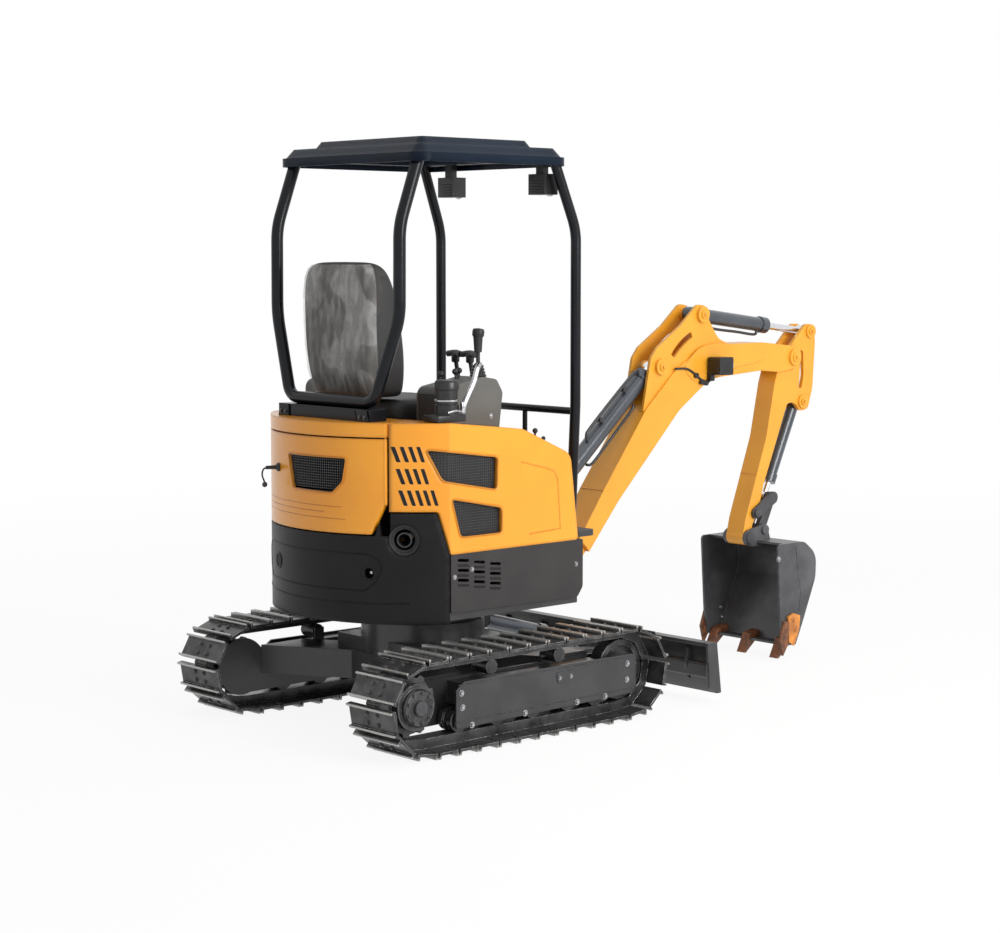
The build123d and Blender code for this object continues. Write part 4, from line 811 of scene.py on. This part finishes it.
def make_canopy_details():
    """Lamp fins and lenses, and the roll bar's foot brackets with their bolts."""
    fins, lenses, feet = bmesh.new(), bmesh.new(), bmesh.new()
    low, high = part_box("work_lamps")
    for y in LAMP_YS:
        for k in range(5):
            z = 2.096 + 0.011 * k
            add_block(fins, (low.x - 0.005, y - 0.034, z), (low.x + 0.002, y + 0.034, z + 0.004), 0.001)
        add_lathe(lenses, [(0, 0), (0.033, 0), (0.035, 0.003), (0.03, 0.006), (0, 0.009)],
                  (high.x - 0.0005, y, 2.118), (1, 0, 0), 28)
    rear = on_rear(MOUNT_REAR)
    for foot in ([(-0.281, 1.2245), (-0.215, 1.2245), (-0.215, 1.268), (-0.269, 1.268)],
                 [(0.215, 1.2245), (0.281, 1.2245), (0.269, 1.268), (0.215, 1.268)]):
        add_plate(feet, foot, rear, -0.0005, 0.006)
    panel = [(-0.205, 1.23), (0.205, 1.23), (0.195, 1.264), (-0.195, 1.264)]
    add_plate(feet, round_corners(panel, 0.008), rear, -0.0004, 0.0025)
    finish_piece(fins, "lamp_fins", "lamp_body")
    finish_piece(lenses, "work_lamp_lenses", "lamp_lens")
    finish_piece(feet, "roll_bar_brackets", "tube_paint")
    places = [(at(MOUNT_REAR - 0.006, y, 1.24), (-1, 0, 0)) for y in (-0.262, -0.232, 0.232, 0.262)]
    add_bolts("roll_bar_bolts", places, "house", 0.0065, 0.005, "pipe_steel")


# Boom, arm and bucket

BOOM_BASE, BOOM_ROD_EYE = (0.69, 0.81), (1.322, 1.363)
ARM_BASE, ARM_ROD_EYE = (1.59, 1.588), (2.36, 1.495)
ARM_PIVOT = (2.22, 1.378)
BOOM_SIDE = 0.072


def add_pin_caps(bm, places):
    """Round caps on both ends of pins, each given by its place, half length and radius."""
    for (x, z), half, radius in places:
        for sign in (-1, 1):
            add_lathe(bm, [(radius, -0.001), (radius, 0.004), (radius - 0.003, 0.007), (0, 0.007)],
                      at(x, sign * half, z), (0, sign, 0), 24)


def beside_cylinder(base, eye):
    """Gives places beside a cylinder, by distance from its base, lift and y, and where it points."""
    base = Vector(base)
    along = (Vector(eye) - base).normalized()
    normal = Vector((-along.y, along.x))

    def beside(distance, lift, y):
        place = base + along * distance + normal * lift
        return at(place.x, y, place.y)

    return beside, Vector((along.x, 0, along.y))


def make_boom_details():
    """Weld bead, doublers, pin caps and their bolts on the boom."""
    bm = bmesh.new()
    add_tube(bm, [at(0.9625, -0.071, 0.8435), at(0.9625, 0.071, 0.8435)], 0.0022, 8, 1)
    finish_piece(bm, "boom_welds", "boom_paint", "boom")
    doubler = round_corners([(1.455, 1.352), (1.56, 1.44), (1.7, 1.458), (1.92, 1.434), (2.04, 1.396),
                             (1.96, 1.362), (1.8, 1.346), (1.64, 1.306), (1.54, 1.282)], 0.05)
    for name, sign in SIDES:
        bm = bmesh.new()
        add_plate(bm, doubler, on_side(sign * BOOM_SIDE, sign), -0.0004, 0.004)
        add_line(bm, doubler, on_side(sign * BOOM_SIDE, sign), 0.0002, 0.0032, True)
        finish_piece(bm, "boom_doubler_" + name, "boom_paint", "boom")
    bm = bmesh.new()
    add_pin_caps(bm, ((BOOM_ROD_EYE, 0.078, 0.02), (ARM_BASE, 0.078, 0.02), (ARM_PIVOT, 0.084, 0.022)))
    finish_piece(bm, "boom_pin_caps", "boom_paint", "boom")
    places = spots((BOOM_ROD_EYE, ARM_BASE), -0.085) + spots((ARM_PIVOT,), -0.091)
    add_bolts("boom_pin_bolts", places, "boom", 0.0075, 0.005, "boom_paint")


def make_boom_lamp_details():
    """The boom lamp's fins, bracket, wire with its clips, and lens."""
    lamp, lens = bmesh.new(), bmesh.new()
    for k in range(5):
        z = 1.332 + 0.013 * k
        add_block(lamp, at(1.6065, -0.15, z), at(1.6115, -0.09, z + 0.005), 0.001)
    add_block(lamp, at(1.612, -0.1, 1.29), at(1.64, -0.073, 1.33), 0.003)
    add_tube(lamp, [at(1.625, -0.088, 1.296), at(1.6, -0.085, 1.282), at(1.565, -0.082, 1.3),
                    at(1.52, -0.08, 1.33), at(1.47, -0.079, 1.35), at(1.4, -0.079, 1.352)], 0.005, 8, 6)
    for x, z in ((1.535, 1.318), (1.572, 1.288), (1.6, 1.282)):
        add_lathe(lamp, [(0, 0), (0.012, 0), (0.012, 0.016), (0.006, 0.018), (0, 0.018)],
                  at(x, -0.0725, z), (0, -1, 0), 12)
    add_lathe(lens, [(0.036, 0.0), (0.036, 0.003), (0.033, 0.006), (0, 0.009)],
              at(1.6995, -0.12, 1.358), (1, 0, 0), 28)
    finish_piece(lamp, "boom_lamp_wiring", "lamp_body", "boom")
    finish_piece(lens, "boom_lamp_lens", "lamp_lens", "boom")


def make_cylinder_details():
    """Pipes and rings beside the barrels of the boom and arm cylinders, riding with them."""
    beside, direction = beside_cylinder(BOOM_BASE, BOOM_ROD_EYE)
    pipes, rings = bmesh.new(), bmesh.new()
    for y, radius, run in (
            (-0.018, 0.0075, ((0.33, 0.036), (0.345, 0.058), (0.38, 0.066), (0.56, 0.066), (0.735, 0.06),
                              (0.752, 0.04))),
            (-0.02, 0.0065, ((0.26, -0.036), (0.28, -0.054), (0.33, -0.058), (0.52, -0.054),
                              (0.62, -0.05), (0.64, -0.036)))):
        add_tube(pipes, [beside(distance, lift, y) for distance, lift in run], radius, 12, 8)
    clip = Vector((0.012, 0.012, 0.012))
    for distance in (0.45, 0.64):
        centre = beside(distance, 0.052, -0.018)
        add_block(pipes, centre - clip, centre + clip, 0.002)
    for distance, radius, length in ((0.742, 0.0395, 0.03), (0.116, 0.0385, 0.014)):
        add_lathe(rings, [(0.0365, 0.0), (radius, 0.002), (radius, length - 0.002), (0.0365, length)],
                  beside(distance, 0, 0), direction, 36)
    finish_piece(pipes, "boom_cylinder_pipes", "pipe_steel", "boom_cylinder")
    finish_piece(rings, "boom_cylinder_rings", "pipe_steel", "boom_cylinder")

    beside, direction = beside_cylinder(ARM_BASE, ARM_ROD_EYE)
    pipes, rings = bmesh.new(), bmesh.new()
    add_tube(pipes, [beside(distance, lift, -0.012) for distance, lift in
                     ((0.105, -0.032), (0.118, -0.048), (0.17, -0.052), (0.3, -0.05), (0.42, -0.05),
                      (0.44, -0.032))], 0.0065, 12, 8)
    add_lathe(rings, [(0.0325, 0.0), (0.0355, 0.002), (0.0355, 0.026), (0.0325, 0.028)],
              beside(0.466, 0, 0), direction, 36)
    finish_piece(pipes, "arm_cylinder_pipe", "pipe_steel", "arm_cylinder")
    finish_piece(rings, "arm_cylinder_ring", "pipe_steel", "arm_cylinder")


def make_arm_details():
    """Weld bead, pin caps and bolts of the arm, and the rocker's caps."""
    bm = bmesh.new()
    places = (ARM_ROD_EYE, (2.31, 1.165))
    half = 0.06
    add_tube(bm, [at(1.9905, -0.049, 0.842), at(1.9905, 0.049, 0.842)], 0.002, 8, 1)
    add_pin_caps(bm, [(place, half, 0.018) for place in places])
    finish_piece(bm, "arm_pin_caps", "boom_paint", "arm")
    add_bolts("arm_pin_bolts", spots(places, -half - 0.007), "arm", 0.007, 0.005, "boom_paint")
    bm = bmesh.new()
    for sign in (-1, 1):
        add_lathe(bm, [(0.0175, 0.0), (0.0175, 0.009), (0.015, 0.0105), (0, 0.0105)],
                  at(1.978, sign * 0.0645, 0.662), (0, sign, 0), 24)
    finish_piece(bm, "rocker_pin_caps", "link_steel", "arm")


def make_bucket_details():
    """Side cutters, welds and bolts of the bucket."""
    side = 0.238
    cutter = [(1.992, 0.196), (2.03, 0.21), (2.076, 0.196), (2.07, 0.128), (2.036, 0.058), (2.0, 0.08)]
    for (name, sign), material in zip(SIDES, ("cutter_paint", "tooth_steel")):
        bm = bmesh.new()
        add_plate(bm, cutter, on_side(sign * side, sign), 0.0002, 0.0115)
        for x, z in ((2.03, 0.178), (2.044, 0.132)):
            add_bolt(bm, at(x, sign * 0.2495, z), (0, sign, 0), 0.0085, 0.0055)
        finish_piece(bm, "cutter_" + name, material, "bucket")
    bm = bmesh.new()
    for sign in (-1, 1):
        add_line(bm, [(2.052, 0.52), (2.07, 0.4), (2.092, 0.3), (2.08, 0.215)],
                 on_side(sign * side, sign), 0.0, 0.0022)
    finish_piece(bm, "bucket_welds", "bucket_steel", "bucket")
    add_bolts("bucket_bolts", spots(((1.93, 0.47),), -0.2385)
              + spots(((2.064, 0.178), (2.075, 0.128)), 0.2275), "bucket", 0.009, 0.006)


# Undercarriage

SHOE_COUNT = 31
SHOE_FACE = 0.028  # from the chain's joints out to a shoe's face
CHAIN_RADIUS = 0.148
TRACK_Y = 0.55
FRAME_SIDE = -0.61
HUB_FACE = 0.624
HUB_RING = 0.058


def chain_joint(index):
    """A joint of the track's chain, as x from the slew axis and height."""
    straight, turn = 2 * TUMBLER_X, math.pi * CHAIN_RADIUS
    perimeter = 2 * (straight + turn)
    distance = (index * perimeter / SHOE_COUNT + TUMBLER_X) % perimeter
    side = 1 if distance < straight + turn else -1
    run = distance % (straight + turn)
    if run < straight:
        place = Vector((run - TUMBLER_X, -CHAIN_RADIUS))
    else:
        angle = (run - straight) / CHAIN_RADIUS - math.pi / 2
        place = Vector((TUMBLER_X + CHAIN_RADIUS * math.cos(angle), CHAIN_RADIUS * math.sin(angle)))
    return place * side + Vector((0, TUMBLER_Z))


def make_shoe_bolts():
    """Four bolts on the plate of every track shoe."""
    for name, side in SIDES:
        bm = bmesh.new()
        for i in range(SHOE_COUNT):
            start, end = chain_joint(i), chain_joint(i + 1)
            along = (end - start).normalized()
            outward = Vector((along.y, -along.x))
            middle = (start + end) / 2 + outward * SHOE_FACE
            for step in (-0.018, 0.018):
                x, z = middle + along * step
                for across in (-0.03, 0.03):
                    base = at(x, side * TRACK_Y + across, z)
                    add_bolt(bm, base, (outward.x, 0, outward.y), 0.007, 0.0055)
        finish_piece(bm, "shoe_bolts_" + name, "link_steel", "undercarriage")


def make_undercarriage_details():
    """Bolts, cover and bead lines of the side frame, the blade's ribs, and the hubs' bolts and caps."""
    places = ((-0.277, 0.087), (-0.003, 0.093), (0.278, 0.097), (0.434, 0.099), (-0.33, 0.215),
              (-0.325, 0.16), (0.558, 0.15), (0.56, 0.215))
    add_bolts("side_frame_bolts", spots(places, FRAME_SIDE), "undercarriage", 0.0085, 0.006)
    bm = bmesh.new()
    panel = on_side(FRAME_SIDE)
    cover = [(0.165, 0.228), (0.255, 0.228), (0.25, 0.184), (0.17, 0.184)]
    add_plate(bm, round_corners(cover, 0.01), panel, -0.0004, 0.003)
    add_line(bm, [(-0.345, 0.247), (0.6, 0.24)], panel, 0.0, 0.0026)
    add_line(bm, [(-0.345, 0.108), (0.595, 0.112)], panel, 0.0, 0.0022)
    finish_piece(bm, "side_frame_cover", "frame_paint", "undercarriage")
    add_bolts("side_frame_cover_bolts", spots(((0.18, 0.206), (0.24, 0.206)), FRAME_SIDE - 0.003),
              "undercarriage", 0.006, 0.005)
    bm = bmesh.new()
    rib = [(0.9865, 0.225), (0.9865, 0.09), (0.972, 0.096), (0.955, 0.16), (0.968, 0.222)]
    for y in (-0.56, -0.33, 0.33, 0.56):
        add_plate(bm, rib, on_side(y, 1), -0.006, 0.006)
    finish_piece(bm, "blade_ribs", "frame_paint", "blade")
    for name, sign in SIDES:
        y = sign * HUB_FACE
        ring = [(-TUMBLER_X + HUB_RING * c, TUMBLER_Z + HUB_RING * s) for c, s in circle(9)]
        add_bolts("hub_bolts_" + name, spots(ring, y, (0, sign, 0)), "undercarriage", 0.0062, 0.006,
                  "link_steel")
        bm = bmesh.new()
        centre = at(-TUMBLER_X, y, TUMBLER_Z)
        add_lathe(bm, [(0.03, -0.001), (0.03, 0.01), (0.026, 0.014), (0, 0.014)], centre, (0, sign, 0), 28)
        add_lathe(bm, [(0.04, -0.001), (0.041, 0.002), (0.0435, 0.002), (0.0445, -0.001)], centre,
                  (0, sign, 0), 36)
        finish_piece(bm, "hub_cap_" + name, "link_steel", "undercarriage")


# Stage

def add_seen_rays(tree):
    """1 for camera, glossy and transmission rays, 0 for the rest."""
    seen = add_node(tree, "LightPath", {}, "Is Camera Ray")
    path = seen.node
    for ray in ("Is Glossy Ray", "Is Transmission Ray"):
        seen = maths(tree, "MAXIMUM", seen, path.outputs[ray])
    return seen


def show_white(tree, share, lit, kind, output):
    """Mixes white over a shader by a share of the rays."""
    white = add_node(tree, kind, {"Color": (1, 1, 1, 1), "Strength": 1.0}, 0)
    blend = add_node(tree, "MixShader", {"Fac": share, 1: lit, 2: white}, "Shader")
    tree.links.new(blend, tree.nodes[output].inputs["Surface"])


def make_floor():
    """A pale floor that keeps the machine's shadow and fades to white far from it."""
    bm = bmesh.new()
    bmesh.ops.create_grid(bm, x_segments=4, y_segments=4, size=40.0)
    floor = add_object("floor", mesh_from(bm, "floor"))
    tree = new_material("floor_white")
    shader = tree.nodes["Principled BSDF"]
    set_inputs(tree, shader, {"Base Color": (0.95, 0.95, 0.95, 1), "Roughness": 0.8,
                              "Specular IOR Level": 0.1})
    place = add_node(tree, "TexCoord", {}, "Object")
    fade = map_range(tree, maths(tree, "LENGTH", place, kind="VectorMath"), 3.5, 9.0, 0.9)
    share = maths(tree, "MULTIPLY", add_seen_rays(tree), fade)
    show_white(tree, share, shader.outputs["BSDF"], "Emission", "Material Output")
    floor.data.materials.append(MATERIALS["floor_white"])


def make_world():
    """Soft studio light, brighter from the front right; white where the camera sees it."""
    world = bpy.data.worlds.new("studio")
    bpy.context.scene.world = world
    world.use_nodes = True
    tree = world.node_tree
    place = add_node(tree, "TexCoord", {}, "Generated")
    bright = Vector((0.62, -0.72, 0.32)).normalized()
    shift = map_range(tree, maths(tree, "DOT_PRODUCT", place, bright, kind="VectorMath"), -0.55, 0.75)
    light = ramp(tree, shift, 0.0, 1.0, (0.14, 0.15, 0.17), (1.0, 0.99, 0.97))
    background = tree.nodes["Background"]
    set_inputs(tree, background, {"Strength": 1.0, "Color": light})
    show_white(tree, add_seen_rays(tree), background.outputs["Background"], "Background", "World Output")


def make_stage():
    """Floor, studio light from the right-hand side and the photograph's camera."""
    make_floor()
    make_world()
    for name, place, size, energy in (("key", (0.2, -6.6, 3.4), 3.0, 270.0),
                                      ("top", (0.2, -0.4, 7.0), 5.0, 45.0)):
        light = bpy.data.lights.new(name, "AREA")
        light.size = size
        light.energy = energy
        lamp = add_object(name, light)
        lamp.location = place
        lamp.rotation_euler = (Vector((0, 0, 0.9)) - Vector(place)).to_track_quat("-Z", "Y").to_euler()

    camera = add_object("camera", bpy.data.cameras.new("camera"))
    camera.data.sensor_width = 36.0
    camera.data.lens = 77.76
    camera.location = at(-5.608, -6.596, 1.844)
    yaw, pitch = math.radians(47.558), math.radians(-5.541)
    look = Vector((math.cos(yaw) * math.cos(pitch), math.sin(yaw) * math.cos(pitch), math.sin(pitch)))
    camera.rotation_euler = look.to_track_quat("-Z", "Y").to_euler()
    bpy.context.scene.camera = camera
    bpy.context.scene.view_settings.view_transform = "Standard"


make_lens_look()
make_film_look()
paint_shoe_tip_highlights()
dress_nodes()
make_stage()
make_screens()
make_cover_details()
make_door_lock()
make_weight_details()
make_skirt_details()
make_seat()
make_levers()
make_console_details()
make_canopy_details()
make_boom_details()
make_boom_lamp_details()
make_cylinder_details()
make_arm_details()
make_bucket_details()
make_shoe_bolts()
make_undercarriage_details()
